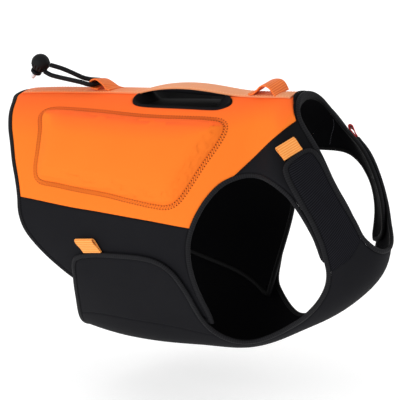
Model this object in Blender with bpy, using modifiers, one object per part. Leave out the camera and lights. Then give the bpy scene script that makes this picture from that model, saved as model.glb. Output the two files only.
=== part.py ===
"""Dog float vest of neoprene, filled out as it is when worn, with no wearer.

Frame: +X runs from the rear hem to the neck, +Y to the dog's left, +Z up. The origin is where the
vest lies on the wearer's back, on the inside of the cloth at the spine. Lengths and places are in
millimetres, in the axes of SECTIONS, until a mesh is written, which is in metres from the origin.

The cloth lies on a smooth trunk given by SECTIONS. A place on the trunk is (station, angle): station
0 is the first section and 9 the last, angle 0 is the spine, 90 the right flank and 180 the belly.
Each panel is cut in that flat plane to its outline, then laid on the trunk at its own depth.
"""

import math

import bmesh
import bpy
import numpy as np

MM = 0.001

# Trunk, one row for each section from the rear hem to the neck. shoulder fills the section out at 45
# degrees above the middle, and pinch draws it in at 45 degrees below, as shares of the width.
#   top_x  top_z  bottom_x  bottom_z  half_width  shoulder  pinch
SECTIONS = np.array((
    (-20, -2, -16, -223, 96, 0.00, 0.09),
    (60, 10, 66, -232, 106, 0.00, 0.11),
    (140, 20, 147, -243, 113, 0.00, 0.14),
    (220, 30, 235, -237, 113, -0.03, 0.20),
    (280, 36, 293, -230, 99, -0.04, 0.20),
    (312, 40, 342, -206, 76, -0.03, 0.18),
    (333, 42, 389, -177, 80, 0.01, 0.18),
    (345, 42, 426, -140, 68, -0.10, 0.15),
    (352, 46, 438, -110, 46, -0.25, 0.14),
    (366, 53, 449, -97, 35, -0.25, 0.11),
), dtype=float)

HELD_STATION = 1.5        # where the origin is on the spine

# Cloth
NEOPRENE = 3.0            # one wall
GAP = 0.3                 # between pieces that are sewn together
LAYER = 1.3               # from the saddle's face to the underside of the bib
BINDING = 5.0             # width of the tape round an edge
BINDING_PROUD = 0.4       # how far the tape stands out of the wall
NAPE_RISE = 4.6           # how much thicker the collar is on the spine
NAPE_END = 38.0           # degrees to each side where it is down to one wall
STEP = 13.0               # spacing of the points along an edge
SPACING = 10.0            # degrees between the cuts that make a panel bend round the trunk
STATION_CUTS = np.concatenate((np.arange(0, 4, 0.25), np.arange(4, 9.1, 0.5)))

# Webbing and cord
WEBBING = 25.0
WEBBING_THICK = 1.6
TAB_WIDTH = 23.0
TAB_THICK = 1.2
CORD = 5.0
TOGGLE = 20.0

# Side view of a pull tab: how far up from the edge and how far out of the bib's middle
TAB_PROFILE = ((0.3, -0.8), (5.0, -0.9), (10.0, -1.4), (13.6, -1.5), (15.6, -0.2), (15.4, 1.6),
               (13.2, 2.6), (10.0, 2.2), (5.0, 1.0), (0.3, 0.8))
BELLY_TAB = ((2.28, 96.2), (2.02, 97.3))
BELLY_TAB_LEAN = 0.42     # along the edge for each millimetre up
NECK_TAB_LEAN = 0.05

# Float panels: how far they stand up at each distance inside their outline
#   inside  height
FLOAT_SECTION = ((0.0, 1.6), (3.0, 3.2), (8.0, 7.4), (15.0, 10.2), (26.0, 11.8), (40.0, 12.4))

# Hand hold on the spine: a lens-shaped dish of cloth under a stretch of webbing that stands up
HAND_STATION = 2.93
HAND_HALF_LENGTH = 0.84   # stations
HAND_HALF_WIDTH = 20.8    # degrees
HAND_SQUARENESS = 3.2     # 2 would be an ellipse
DISH_SECTION = ((0.0, 0.0), (3.0, -1.6), (12.0, -10.0))
HANDLE_FROM = 2.02        # stations between which the webbing stands up
HANDLE_TO = 3.80
HANDLE_RISE = 5.7
GRIP_FROM = 2.30
GRIP_TO = 3.52
GRIP_THICK = 7.6

# Edges of the right side, as (station, angle)
HEM = ((0.10, 0), (0.11, 9), (0.20, 18), (0.30, 29), (0.43, 40), (0.57, 50), (0.69, 60), (0.80, 69),
       (0.87, 77), (0.91, 86), (1.01, 94), (1.21, 102), (1.44, 109), (1.72, 116), (2.05, 121))
HEM_SEAM = 8              # the point of HEM where the side seam ends
FLANK_FOOT = ((2.05, 121), (2.40, 124), (2.80, 128), (3.15, 133), (3.42, 138), (3.56, 139))
ARMHOLE = ((3.56, 139), (3.58, 133), (3.58, 124), (3.59, 115), (3.62, 106), (3.66, 97), (3.70, 90),
           (3.77, 84), (3.88, 78), (4.04, 72), (4.24, 67.5), (4.45, 65.6), (4.72, 65), (4.98, 65.6),
           (5.37, 67.4), (5.62, 69), (5.85, 71), (6.07, 73.7), (6.26, 77), (6.41, 80.4), (6.52, 84),
           (6.67, 92), (6.73, 100), (6.72, 109), (6.65, 116), (6.57, 123), (6.60, 127.5))
ARMHOLE_SIDE_SEAM = 7     # the points of ARMHOLE where the two seams end
ARMHOLE_YOKE_SEAM = 11
YOKE_FOOT = ((6.60, 127.5), (6.80, 131), (7.20, 133), (7.70, 132), (8.10, 129.5), (8.30, 125))
NECK = ((7.30, 0), (7.32, 12), (7.38, 24), (7.53, 36.8), (7.77, 48.8), (8.04, 59.4), (8.33, 72),
        (8.45, 80), (8.50, 89), (8.50, 107), (8.42, 118), (8.30, 125))
NECK_SEAM = 3             # the point of NECK where collar and yoke meet
SIDE_SEAM = ((0.87, 77), (1.30, 77), (1.80, 77.3), (2.25, 78), (3.00, 81), (3.62, 83.6), (3.77, 84))
YOKE_SEAM = ((4.45, 65.6), (4.60, 61.2), (5.29, 52), (6.16, 43.1), (6.72, 38), (7.13, 36))
COLLAR_SEAM = ((6.10, 0), (6.16, 6), (6.40, 12), (6.69, 18.2), (6.90, 24.2), (7.04, 30.7), (7.13, 36))
COLLAR_END = ((7.13, 36), (7.53, 36.8))

BIB_REAR = ((1.33, 180), (1.33, 170), (1.36, 159), (1.47, 142), (1.61, 125), (1.73, 111),
            (1.78, 104.5), (1.84, 100.5), (1.95, 98.2))
BIB_REAR_SEAM = 3
CHEST_SEAM = ((6.51, 132), (6.85, 134.5), (7.25, 137.2), (7.80, 137.8), (8.22, 137))
BIB_ARM = ((5.26, 155.5), (5.63, 151), (6.00, 145.5), (6.31, 139), (6.51, 132), (6.64, 124),
           (6.79, 113), (6.86, 100))
BIB_ARM_SEAM = -10        # the point of each arm edge where the chest seam ends
BIB_NECK = ((8.45, 107), (8.38, 124), (8.22, 137), (8.25, 148), (8.32, 163), (8.36, 172), (8.37, 180))
BIB_NECK_SEAM = -5

# On the right the belly wing closes further back, and the neck wing further up, than on the left
RIGHT = {
    "wing_top": ((1.95, 98.2), (2.20, 96.4), (2.53, 96), (2.84, 96.4), (3.06, 98), (3.22, 101),
                 (3.34, 106), (3.41, 115), (3.42, 124), (3.44, 132), (3.52, 140), (3.67, 146.5)),
    "belly_seam": ((1.47, 142), (1.80, 136.5), (2.10, 135.5), (2.55, 138), (3.00, 142.3),
                   (3.35, 145.3), (3.67, 146.5)),
    "arm": ((3.67, 146.5), (3.90, 152.5), (4.13, 156.5), (4.40, 158.5), (4.77, 158.5), *BIB_ARM,
            (6.77, 87.1), (6.63, 78.1), (6.51, 71.1), (6.46, 66.5), (6.55, 63.2), (6.74, 61.3)),
    "wing_end": ((6.74, 61.3), (7.02, 60.8), (7.34, 61.1), (7.65, 63.4)),
    "neck": ((7.65, 63.4), (7.90, 66.8), (8.17, 72.4), (8.38, 80.4), (8.45, 89), *BIB_NECK),
    "tab": ((7.30, 61.0), (6.56, 61.5)),
}
LEFT = {
    "wing_top": ((1.95, 98.2), (2.20, 96.4), (2.53, 96), (2.84, 96.2), (3.10, 97.4), (3.30, 100.4),
                 (3.43, 106), (3.50, 113), (3.54, 120), (3.58, 126), (3.66, 130.5), (3.84, 135.6)),
    "belly_seam": ((1.47, 142), (1.80, 136.5), (2.10, 134.6), (2.55, 134.6), (3.00, 135.6),
                   (3.45, 136), (3.84, 135.6)),
    "arm": ((3.84, 135.6), (4.08, 141.7), (4.37, 148.4), (4.62, 152.8), (4.93, 155.6), *BIB_ARM,
            (6.81, 91), (6.70, 83), (6.60, 76.5), (6.59, 72.6), (6.68, 70), (6.86, 68.4)),
    "wing_end": ((6.86, 68.4), (7.12, 67.8), (7.42, 68), (7.76, 70.2)),
    "neck": ((7.76, 70.2), (8.00, 73.4), (8.22, 77.4), (8.38, 82.8), (8.45, 90.5), *BIB_NECK),
    "tab": ((7.38, 67.9), (6.68, 68.4)),
}

FLOAT_OUTLINE = ((0.90, 30), (1.02, 25.6), (1.50, 25.8), (1.96, 27), (2.45, 28.6), (2.91, 29.6),
                 (3.52, 30), (3.85, 31.6), (3.98, 36), (3.93, 44), (3.74, 55), (3.57, 64.5),
                 (3.42, 71), (3.25, 73.6), (2.98, 73), (2.60, 70.8), (2.22, 68.6), (1.58, 67),
                 (1.24, 66.4), (1.15, 61), (1.11, 52), (1.02, 40))

# Paths in the plane of the spine, as (x, z)
LEAD_LOOP = ((281, 39.4), (286.5, 40.6), (291, 45.4), (296.5, 49.6), (302.5, 51.2), (308, 50.4),
             (312.5, 47.2), (315.8, 44.2), (321.0, 44.4))
REAR_LOOP = ((93.0, 17.5), (87.6, 17.6), (83.6, 19.4), (82.0, 22.4), (84.0, 25.2), (89.0, 26.0),
             (94.5, 25.2), (99.5, 22.8), (104.5, 20.2), (110.5, 20.0))
REAR_LOOP_WIDTH = 18.0

# Cord strands from the middle of the rear loop to the toggle, as (x, y, z)
UPPER_STRAND = ((87.2, 0.2, 21.6), (87.0, 6.5, 21.6), (86.0, 10.4, 21.6), (82.0, 12.4, 21.5),
                (75.0, 12.6, 21.0), (67.0, 11.8, 20.9), (59.5, 10.5, 22.2), (48.0, 8.3, 26.2),
                (36.7, 5.8, 29.8), (24.4, 3.0, 32.4))
LOWER_STRAND = ((87.2, -0.2, 21.6), (87.0, -6.5, 21.6), (86.0, -10.4, 21.8), (82.0, -12.2, 22.3),
                (74.0, -11.4, 23.0), (59.0, -9.2, 23.2), (42.0, -6.4, 23.2), (30.0, -4.2, 23.6),
                (20.9, -2.6, 25.6))
TOGGLE_PLACE = (13.4, 0.0, 33.8)
BUTTON_TURN = math.radians(29)   # the toggle's button points down and back by this
BUTTON_DIAMETER = 12.0
BUTTON_LENGTH = 3.4
TIP_DIAMETER = 4.8
TIP_LENGTH = 6.0
TIP_SIDE = -2.0


def natural_bends(rows):
    """Second derivatives of a natural cubic spline through the rows, one apart."""
    count = len(rows)
    matrix = np.eye(count)
    target = np.zeros(rows.shape)
    for i in range(1, count - 1):
        matrix[i, i - 1:i + 2] = 1, 4, 1
        target[i] = 6 * (rows[i - 1] - 2 * rows[i] + rows[i + 1])
    return np.linalg.solve(matrix, target)


BENDS = natural_bends(SECTIONS)


def trunk(station, angle):
    """Points of the smooth trunk, in millimetres."""
    station, angle = np.broadcast_arrays(np.asarray(station, float), np.asarray(angle, float))
    row = np.clip(station.astype(int), 0, len(SECTIONS) - 2)
    after = (station - row)[..., None]
    before = 1 - after
    section = (before * SECTIONS[row] + after * SECTIONS[row + 1]
               + ((before**3 - before) * BENDS[row] + (after**3 - after) * BENDS[row + 1]) / 6)
    top_x, top_z, bottom_x, bottom_z, half_width, shoulder, pinch = np.moveaxis(section, -1, 0)
    height = np.cos(np.radians(angle))
    fill = np.where(height > 0, shoulder, -pinch) * 4 * height**2 * (1 - height**2)
    x = (top_x + bottom_x) / 2 + (top_x - bottom_x) / 2 * height
    z = (top_z + bottom_z) / 2 + (top_z - bottom_z) / 2 * height
    y = -half_width * np.sin(np.radians(angle)) * (1 + fill)
    return np.stack((x, y, z), axis=-1)


def tangents(station, angle):
    """Millimetres moved for one station and for one degree."""
    station, angle = np.asarray(station, float), np.asarray(angle, float)
    along = (trunk(station + 0.01, angle) - trunk(station - 0.01, angle)) / 0.02
    around = trunk(station, angle + 0.5) - trunk(station, angle - 0.5)
    return along, around


def on_trunk(station, angle, out=0.0):
    """Points that stand out of the trunk by that many millimetres, square to it."""
    along, around = tangents(station, angle)
    normal = np.cross(around, along)
    normal /= np.linalg.norm(normal, axis=-1, keepdims=True)
    return trunk(station, angle) + normal * np.asarray(out, float)[..., None]


ORIGIN = on_trunk(HELD_STATION, 0.0, -NEOPRENE)


def in_frame(points):
    """The places in metres from the origin."""
    return (np.asarray(points) - ORIGIN) * MM


def smooth_line(points, step, between=lambda a, b: b - a, first=0, last=None):
    """Samples a smooth curve through the points about every step, by the distance that between gives."""
    control = np.array(points, dtype=float)
    last = len(control) - 1 if last is None else last
    control = np.vstack((2 * control[0] - control[1], control, 2 * control[-1] - control[-2]))
    samples = []
    for i in range(first, last):
        a, b, c, d = control[i:i + 4]
        count = max(1, round(np.linalg.norm(between(b, c)) / step))
        t = (np.arange(count) / count)[:, None]
        samples.append((2 * b + (c - a) * t + (2 * a - 5 * b + 4 * c - d) * t**2
                        + (3 * b - a - 3 * c + d) * t**3) / 2)
    return np.vstack(samples + [control[last + 1]])


def edge(points, first=0, last=None):
    """Samples a smooth curve through the points, from point number first to point number last."""
    return smooth_line(points, STEP, lambda a, b: trunk(*b) - trunk(*a), first, last)


def mirrored(line, about=0):
    """The same line on the dog's other side, run the other way."""
    return np.column_stack((line[:, 0], 2 * about - line[:, 1]))[::-1]


def closed(*sides):
    """Joins (line, inset) sides, end to end, into an outline and the inset of each of its spans."""
    points = np.vstack([line[:-1] for line, inset in sides])
    insets = np.concatenate([np.full(len(line) - 1, inset) for line, inset in sides])
    return points, insets


def shrink(points, insets):
    """Moves each span of an outline inwards on the trunk by its inset, in millimetres."""
    insets = np.broadcast_to(np.asarray(insets, float), (len(points),))
    x, y = points.T
    turn = np.sign(np.sum(x * np.roll(y, -1) - np.roll(x, -1) * y))
    along, around = tangents(x, y)
    moved = []
    for i, point in enumerate(points):
        frame = np.column_stack((along[i], around[i]))
        axes = np.linalg.qr(frame)[0]
        local = axes.T @ frame
        spans = [local @ (point - points[i - 1]), local @ (points[(i + 1) % len(points)] - point)]
        side = np.sign(np.linalg.det(local)) * turn
        normals = [side * np.array((-s[1], s[0])) / np.linalg.norm(s) for s in spans]
        wanted = np.array((insets[i - 1], insets[i]))
        if abs(np.cross(normals[0], normals[1])) > 0.05:
            shift = np.linalg.solve(np.array(normals), wanted)
        else:
            middle = normals[0] + normals[1]
            shift = middle / np.linalg.norm(middle) * wanted.mean()
        moved.append(point + np.linalg.solve(local, shift))
    return np.array(moved)


def flat_band(plan, outer, inner):
    """Adds a band of faces between two outlines with the same number of points."""
    rims = [[plan.verts.new((s, a / 10, 0)) for s, a in rim] for rim in (outer, inner)]
    for i in range(len(outer)):
        j = (i + 1) % len(outer)
        plan.faces.new((rims[0][i], rims[0][j], rims[1][j], rims[1][i]))


def flat_shape(outline, rings=()):
    """A panel cut flat, with a line of points inside it at each distance in rings."""
    plan = bmesh.new()
    rim = outline
    for inset in rings:
        inside = shrink(outline, inset)
        flat_band(plan, rim, inside)
        rim = inside
    plan.faces.new([plan.verts.new((s, a / 10, 0)) for s, a in rim])
    bmesh.ops.remove_doubles(plan, verts=plan.verts, dist=1e-6)
    cut_for_bends(plan)
    return plan


def height_inside(outline, section):
    """A depth that follows the section's heights by the distance inside the outline."""
    starts = trunk(*outline.T)
    spans = np.roll(starts, -1, axis=0) - starts
    distances, heights = np.array(section).T

    def depth(station, angle):
        away = trunk(station, angle)[:, None] - starts
        share = np.clip((away * spans).sum(-1) / (spans**2).sum(-1), 0, 1)
        nearest = np.linalg.norm(away - share[..., None] * spans, axis=-1).min(axis=1)
        return np.interp(nearest, distances, heights)
    return depth


def material_for(name, color, roughness, metallic=0.0):
    material = bpy.data.materials.new(name)
    material.use_nodes = True
    shader = material.node_tree.nodes["Principled BSDF"]
    shader.inputs["Base Color"].default_value = (*color, 1.0)
    shader.inputs["Roughness"].default_value = roughness
    shader.inputs["Metallic"].default_value = metallic
    return material


ORANGE = ((0.95, 0.19, 0.02), 0.75)
BLACK = ((0.016, 0.016, 0.018), 0.80)
TAPE = ((0.024, 0.024, 0.026), 0.70)
PALE_ORANGE = ((0.87, 0.30, 0.10), 0.65)
TAB_ORANGE = ((0.98, 0.32, 0.07), 0.60)
CORD_BLACK = ((0.012, 0.012, 0.013), 0.60)
PLASTIC_BLACK = ((0.014, 0.014, 0.015), 0.35)
CLEAR_TIP = ((0.75, 0.75, 0.75), 0.30)


def add_object(name, mesh_or_curve, finish):
    thing = bpy.data.objects.new(name, mesh_or_curve)
    thing.data.materials.append(material_for(name, *finish))
    vest.objects.link(thing)
    return thing


def cut_for_bends(plan):
    """Cuts a flat panel along lines of equal station and of equal angle."""
    corners = np.array([v.co for v in plan.verts])
    for axis, cuts in ((0, STATION_CUTS), (1, np.arange(-360, 361, SPACING) / 10)):
        low, high = corners[:, axis].min() + 1e-4, corners[:, axis].max() - 1e-4
        normal = np.eye(3)[axis]
        for cut in cuts[(cuts > low) & (cuts < high)]:
            bmesh.ops.bisect_plane(plan, geom=plan.verts[:] + plan.edges[:] + plan.faces[:],
                                   dist=1e-4, plane_co=normal * cut, plane_no=normal)


def lay(name, plan, finish, inner, outer):
    """Lays a flat panel on the trunk and gives it its thickness.

    inner and outer are depths in millimetres, or functions of the stations and angles.
    """
    bmesh.ops.triangulate(plan, faces=plan.faces)
    made = bmesh.ops.extrude_face_region(plan, geom=plan.faces[:] + plan.edges[:] + plan.verts[:],
                                         use_keep_orig=True)["geom"]
    lifted = {v for v in made if isinstance(v, bmesh.types.BMVert)}
    verts = list(plan.verts)
    station, angle = np.array([(v.co.x, v.co.y * 10) for v in verts]).T
    depths = [f(station, angle) if callable(f) else f for f in (inner, outer)]
    out = np.where([v in lifted for v in verts], depths[1], depths[0])
    for vert, place in zip(verts, in_frame(on_trunk(station, angle, out))):
        vert.co = place
    bmesh.ops.recalc_face_normals(plan, faces=plan.faces)
    if plan.calc_volume(signed=True) < 0:
        bmesh.ops.reverse_faces(plan, faces=plan.faces)
    mesh = bpy.data.meshes.new(name)
    plan.to_mesh(mesh)
    plan.free()
    return add_object(name, mesh, finish)


def to_left(thing):
    """Turns a piece made on the dog's right into its mirror image on the left."""
    shape = bmesh.new()
    shape.from_mesh(thing.data)
    bmesh.ops.scale(shape, vec=(1, -1, 1), verts=shape.verts)
    bmesh.ops.reverse_faces(shape, faces=shape.faces)
    shape.to_mesh(thing.data)
    shape.free()


def both_sides(name, build):
    build(name + "_right", RIGHT)
    to_left(build(name + "_left", LEFT))


BOUND = BINDING + GAP
SEWN = GAP / 2


def nape_rise(station, angle):
    away = np.clip(np.abs(angle) / NAPE_END, 0, 1)
    return np.where(station > 5, NAPE_RISE * np.cos(away * math.pi / 2) ** 2, 0.0)


def saddle_panel(name, finish, *sides, outer=0.0):
    outline = shrink(*closed(*sides))
    return lay(name, flat_shape(outline), finish, -NEOPRENE, outer)


def bib_panel(name, *sides):
    outline = shrink(*closed(*sides))
    return lay(name, flat_shape(outline), BLACK, LAYER, LAYER + NEOPRENE)


def hand_lens():
    turns = np.arange(28) * math.pi / 14
    circle = np.column_stack((np.cos(turns), np.sin(turns)))
    lens = np.sign(circle) * np.abs(circle) ** (2 / HAND_SQUARENESS)
    return lens * (HAND_HALF_LENGTH, HAND_HALF_WIDTH) + (HAND_STATION, 0)


def make_back_panel():
    right = ((edge(HEM, 0, HEM_SEAM), BOUND), (edge(SIDE_SEAM), SEWN),
             (edge(ARMHOLE, ARMHOLE_SIDE_SEAM, ARMHOLE_YOKE_SEAM), BOUND), (edge(YOKE_SEAM), SEWN),
             (edge(COLLAR_SEAM)[::-1], SEWN))
    left = tuple((mirrored(line), inset) for line, inset in reversed(right))
    panel = saddle_panel("back_panel", ORANGE, *right, *left)
    cutter = lay("hand_hold_cutter", flat_shape(hand_lens()), BLACK, -9.0, 9.0)
    vest.objects.unlink(cutter)
    cutters.objects.link(cutter)
    cutter.hide_render = True
    cutter.display_type = "WIRE"
    hole = panel.modifiers.new("hand_hold", "BOOLEAN")
    hole.object = cutter
    hole.operation = "DIFFERENCE"


def make_flank(name, side):
    return saddle_panel(name, BLACK, (edge(HEM, HEM_SEAM), BOUND), (edge(FLANK_FOOT), BOUND),
                        (edge(ARMHOLE, 0, ARMHOLE_SIDE_SEAM), BOUND), (edge(SIDE_SEAM)[::-1], SEWN))


def make_yoke(name, side):
    return saddle_panel(name, BLACK, (edge(ARMHOLE, ARMHOLE_YOKE_SEAM), BOUND), (edge(YOKE_FOOT), BOUND),
                        (edge(NECK, NECK_SEAM)[::-1], BOUND), (edge(COLLAR_END)[::-1], SEWN),
                        (edge(YOKE_SEAM)[::-1], SEWN))


def make_collar():
    right = ((edge(COLLAR_SEAM), SEWN), (edge(COLLAR_END), SEWN), (edge(NECK, 0, NECK_SEAM)[::-1], BOUND))
    left = tuple((mirrored(line), inset) for line, inset in reversed(right))
    saddle_panel("nape_collar", BLACK, *right, *left, outer=nape_rise)


def make_belly_wing(name, side):
    return bib_panel(name, (edge(BIB_REAR, BIB_REAR_SEAM), BOUND), (edge(side["wing_top"]), BOUND),
                     (edge(side["belly_seam"])[::-1], SEWN))


def seam_point(side):
    return len(side["arm"]) + BIB_ARM_SEAM, len(side["neck"]) + BIB_NECK_SEAM


def make_neck_wing(name, side):
    arm_seam, neck_seam = seam_point(side)
    return bib_panel(name, (edge(side["arm"], arm_seam), BOUND), (edge(side["wing_end"]), BOUND),
                     (edge(side["neck"], 0, neck_seam), BOUND), (edge(CHEST_SEAM)[::-1], SEWN))


def bib_side(side):
    arm_seam, neck_seam = seam_point(side)
    return ((edge(BIB_REAR, 0, BIB_REAR_SEAM), BOUND), (edge(side["belly_seam"]), SEWN),
            (edge(side["arm"], 0, arm_seam), BOUND), (edge(CHEST_SEAM), SEWN),
            (edge(side["neck"], neck_seam), BOUND))


def make_belly_and_chest():
    left = tuple((mirrored(line, 180), inset) for line, inset in reversed(bib_side(LEFT)))
    bib_panel("belly_chest_panel", *bib_side(RIGHT), *left)


def make_binding(name, loop, inner, outer):
    plan = bmesh.new()
    flat_band(plan, loop, shrink(loop, BINDING))
    lay(name, plan, TAPE, inner, outer)


def make_bindings():
    right = (edge(HEM), edge(FLANK_FOOT), edge(ARMHOLE), edge(YOKE_FOOT), edge(NECK)[::-1])
    loop, _ = closed(*[(line, 0) for line in right + tuple(mirrored(line) for line in reversed(right))])
    make_binding("binding_saddle", loop, -NEOPRENE - BINDING_PROUD,
                 lambda s, a: BINDING_PROUD + nape_rise(s, a))
    names = ("wing_top", "arm", "wing_end", "neck")
    right, left = [(edge(BIB_REAR), *(edge(side[name]) for name in names)) for side in (RIGHT, LEFT)]
    loop, _ = closed(*[(line, 0) for line in right + tuple(mirrored(line, 180) for line in reversed(left))])
    make_binding("binding_bib", loop, LAYER, LAYER + NEOPRENE + BINDING_PROUD)


def make_float(name, side):
    ring = FLOAT_OUTLINE + FLOAT_OUTLINE[:3]
    outline = edge(ring, 1, len(FLOAT_OUTLINE) + 1)[:-1]
    rings = [distance for distance, height in FLOAT_SECTION[1:3]]
    return lay(name, flat_shape(outline, rings), ORANGE, GAP, height_inside(outline, FLOAT_SECTION))


def make_hand_hold():
    lens = shrink(hand_lens(), GAP)
    floor = height_inside(lens, DISH_SECTION)
    rings = [distance for distance, height in DISH_SECTION[1:]]
    lay("handle_insert", flat_shape(lens, rings), BLACK, lambda s, a: floor(s, a) - NEOPRENE, floor)


def bump(station, first, last, power):
    """0 at both ends and 1 in the middle."""
    share = np.clip((np.asarray(station) - first) / (last - first), 0, 1)
    return np.sin(math.pi * share) ** power


def handle_rise(station):
    return HANDLE_RISE * bump(station, HANDLE_FROM, HANDLE_TO, 1.6)


def grip_thickness(station):
    return GRIP_THICK * (0.12 + 0.88 * bump(station, GRIP_FROM - 0.05, GRIP_TO + 0.05, 0.8))


def spine_band(first, last, half_width):
    """A flat strip along the spine, with its width measured round the trunk."""
    stations = np.linspace(first, last, round((last - first) * 6) + 1)
    degrees = half_width / np.linalg.norm(tangents(stations, 0 * stations)[1], axis=-1)
    right = np.column_stack((stations, degrees))
    return np.vstack((right, mirrored(right)))


def make_webbing():
    strip = spine_band(0.22, 6.02, WEBBING / 2)
    lay("spine_webbing", flat_shape(strip), PALE_ORANGE,
        lambda s, a: GAP + handle_rise(s), lambda s, a: GAP + WEBBING_THICK + handle_rise(s))
    strip = spine_band(GRIP_FROM, GRIP_TO, WEBBING / 2)
    lay("handle_grip", flat_shape(strip), BLACK, lambda s, a: handle_rise(s) - grip_thickness(s),
        lambda s, a: handle_rise(s))


def strap(name, path, across, width, thickness, finish):
    """A strip of webbing along a path, with its width along across. The path is its middle line."""
    path = np.array(path, dtype=float)
    across = np.asarray(across, float) / np.linalg.norm(across)
    shape = bmesh.new()
    rims = [[shape.verts.new(in_frame(p + side * across * width / 2)) for p in path] for side in (-1, 1)]
    for i in range(len(path) - 1):
        shape.faces.new((rims[0][i], rims[0][i + 1], rims[1][i + 1], rims[1][i]))
    mesh = bpy.data.meshes.new(name)
    shape.to_mesh(mesh)
    shape.free()
    thing = add_object(name, mesh, finish)
    wall = thing.modifiers.new("thickness", "SOLIDIFY")
    wall.thickness = thickness * MM
    wall.offset = 0.0
    wall.use_even_offset = True
    return thing


def make_loops():
    for name, path, width in (("lead_loop", LEAD_LOOP, WEBBING), ("rear_loop", REAR_LOOP, REAR_LOOP_WIDTH)):
        spine_path = [(x, 0.0, z) for x, z in path]
        strap(name, spine_path, (0, 1, 0), width, WEBBING_THICK, TAB_ORANGE)


def pull_tab(name, start, end, lean):
    """A folded strip that stands on the bib's edge between two places, leaning along it."""
    middle = LAYER + NEOPRENE / 2
    a, b = on_trunk(*start, middle), on_trunk(*end, middle)
    across = (b - a) / np.linalg.norm(b - a)
    centre = (np.array(start) + np.array(end)) / 2
    out = on_trunk(*centre, 1.0) - on_trunk(*centre, 0.0)
    out -= across * np.dot(out, across)
    out /= np.linalg.norm(out)
    up = np.cross(across, out)
    base = (a + b) / 2
    path = [base + (up + across * lean) * u + out * v for u, v in TAB_PROFILE]
    return strap(name, path, across, TAB_WIDTH, TAB_THICK, TAB_ORANGE)


def make_tabs():
    both_sides("tab_belly", lambda name, side: pull_tab(name, *BELLY_TAB, BELLY_TAB_LEAN))
    both_sides("tab_neck", lambda name, side: pull_tab(name, *side["tab"], NECK_TAB_LEAN))


def add_tube(name, points, diameter, finish):
    curve = bpy.data.curves.new(name, "CURVE")
    curve.dimensions = "3D"
    curve.bevel_depth = diameter / 2 * MM
    curve.bevel_resolution = 2
    curve.use_fill_caps = True
    line = curve.splines.new("POLY")
    line.points.add(len(points) - 1)
    for point, place in zip(line.points, points):
        point.co = (*in_frame(place), 1.0)
    return add_object(name, curve, finish)


def ball(name, centre, diameter, finish):
    shape = bmesh.new()
    bmesh.ops.create_uvsphere(shape, u_segments=20, v_segments=12, radius=diameter / 2 * MM)
    bmesh.ops.translate(shape, vec=in_frame(centre), verts=shape.verts)
    mesh = bpy.data.meshes.new(name)
    shape.to_mesh(mesh)
    shape.free()
    mesh.shade_smooth()
    return add_object(name, mesh, finish)


def make_cord():
    for name, strand in (("cord_upper", UPPER_STRAND), ("cord_lower", LOWER_STRAND)):
        add_tube(name, smooth_line(strand, 6.0), CORD, CORD_BLACK)
    centre = np.array(TOGGLE_PLACE)
    ball("cord_toggle", centre, TOGGLE, PLASTIC_BLACK)
    down = np.array((-math.sin(BUTTON_TURN), 0, -math.cos(BUTTON_TURN)))
    first = TOGGLE / 2 + GAP
    last = first + BUTTON_LENGTH
    add_tube("toggle_button", (centre + down * first, centre + down * last), BUTTON_DIAMETER, PLASTIC_BLACK)
    side = centre + np.array((0, TIP_SIDE, 0))
    first, last = last + GAP, last + GAP + TIP_LENGTH
    add_tube("cord_tip", (side + down * first, side + down * last), TIP_DIAMETER, CLEAR_TIP)


for item in list(bpy.data.objects):
    bpy.data.objects.remove(item)
vest = bpy.data.collections.new("dog_float_vest")
cutters = bpy.data.collections.new("cutters")
for group in (vest, cutters):
    bpy.context.scene.collection.children.link(group)

make_back_panel()
both_sides("flank_panel", make_flank)
both_sides("shoulder_yoke", make_yoke)
make_collar()
both_sides("belly_wing", make_belly_wing)
both_sides("neck_wing", make_neck_wing)
make_belly_and_chest()
make_bindings()
both_sides("float_panel", make_float)
make_hand_hold()
make_webbing()
make_loops()
make_tabs()
make_cord()
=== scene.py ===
# %% [markdown]
# # Dog float vest of neoprene
#
# The vest is filled out as it is when a dog wears it, with no dog in it. An orange back with two foam
# pads, and black flanks and yokes, are sewn into a saddle. A black bib goes under chest and belly, and
# its four wings close over the saddle. Everything is in metres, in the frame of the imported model: +X
# runs to the neck, +Y to the dog's left and +Z up.

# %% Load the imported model
import math

import bmesh
import bpy
import numpy as np
from mathutils import Matrix, Vector


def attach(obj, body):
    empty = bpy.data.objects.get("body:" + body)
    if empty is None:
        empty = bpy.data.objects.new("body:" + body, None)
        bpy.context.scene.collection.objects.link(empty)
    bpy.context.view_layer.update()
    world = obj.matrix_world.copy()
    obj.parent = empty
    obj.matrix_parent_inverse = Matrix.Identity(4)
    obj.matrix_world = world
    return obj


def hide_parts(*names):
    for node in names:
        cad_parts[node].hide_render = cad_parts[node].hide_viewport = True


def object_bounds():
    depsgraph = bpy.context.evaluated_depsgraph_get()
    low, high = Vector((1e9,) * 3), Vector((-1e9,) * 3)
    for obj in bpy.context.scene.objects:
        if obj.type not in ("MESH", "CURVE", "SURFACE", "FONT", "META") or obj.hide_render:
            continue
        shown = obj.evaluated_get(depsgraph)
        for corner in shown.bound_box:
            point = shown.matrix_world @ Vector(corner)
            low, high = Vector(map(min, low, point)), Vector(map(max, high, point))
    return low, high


MM = 0.001
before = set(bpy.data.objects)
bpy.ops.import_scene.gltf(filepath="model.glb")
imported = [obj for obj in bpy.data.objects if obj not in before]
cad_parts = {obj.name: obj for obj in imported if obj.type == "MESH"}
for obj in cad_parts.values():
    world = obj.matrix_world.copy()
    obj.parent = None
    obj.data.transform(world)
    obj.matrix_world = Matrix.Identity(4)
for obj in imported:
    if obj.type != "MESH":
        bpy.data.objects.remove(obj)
model_box = [list(corner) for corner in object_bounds()]
print("packed nodes:", len(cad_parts))
print("packed box in mm:", [[round(v / MM, 1) for v in corner] for corner in model_box])

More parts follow.
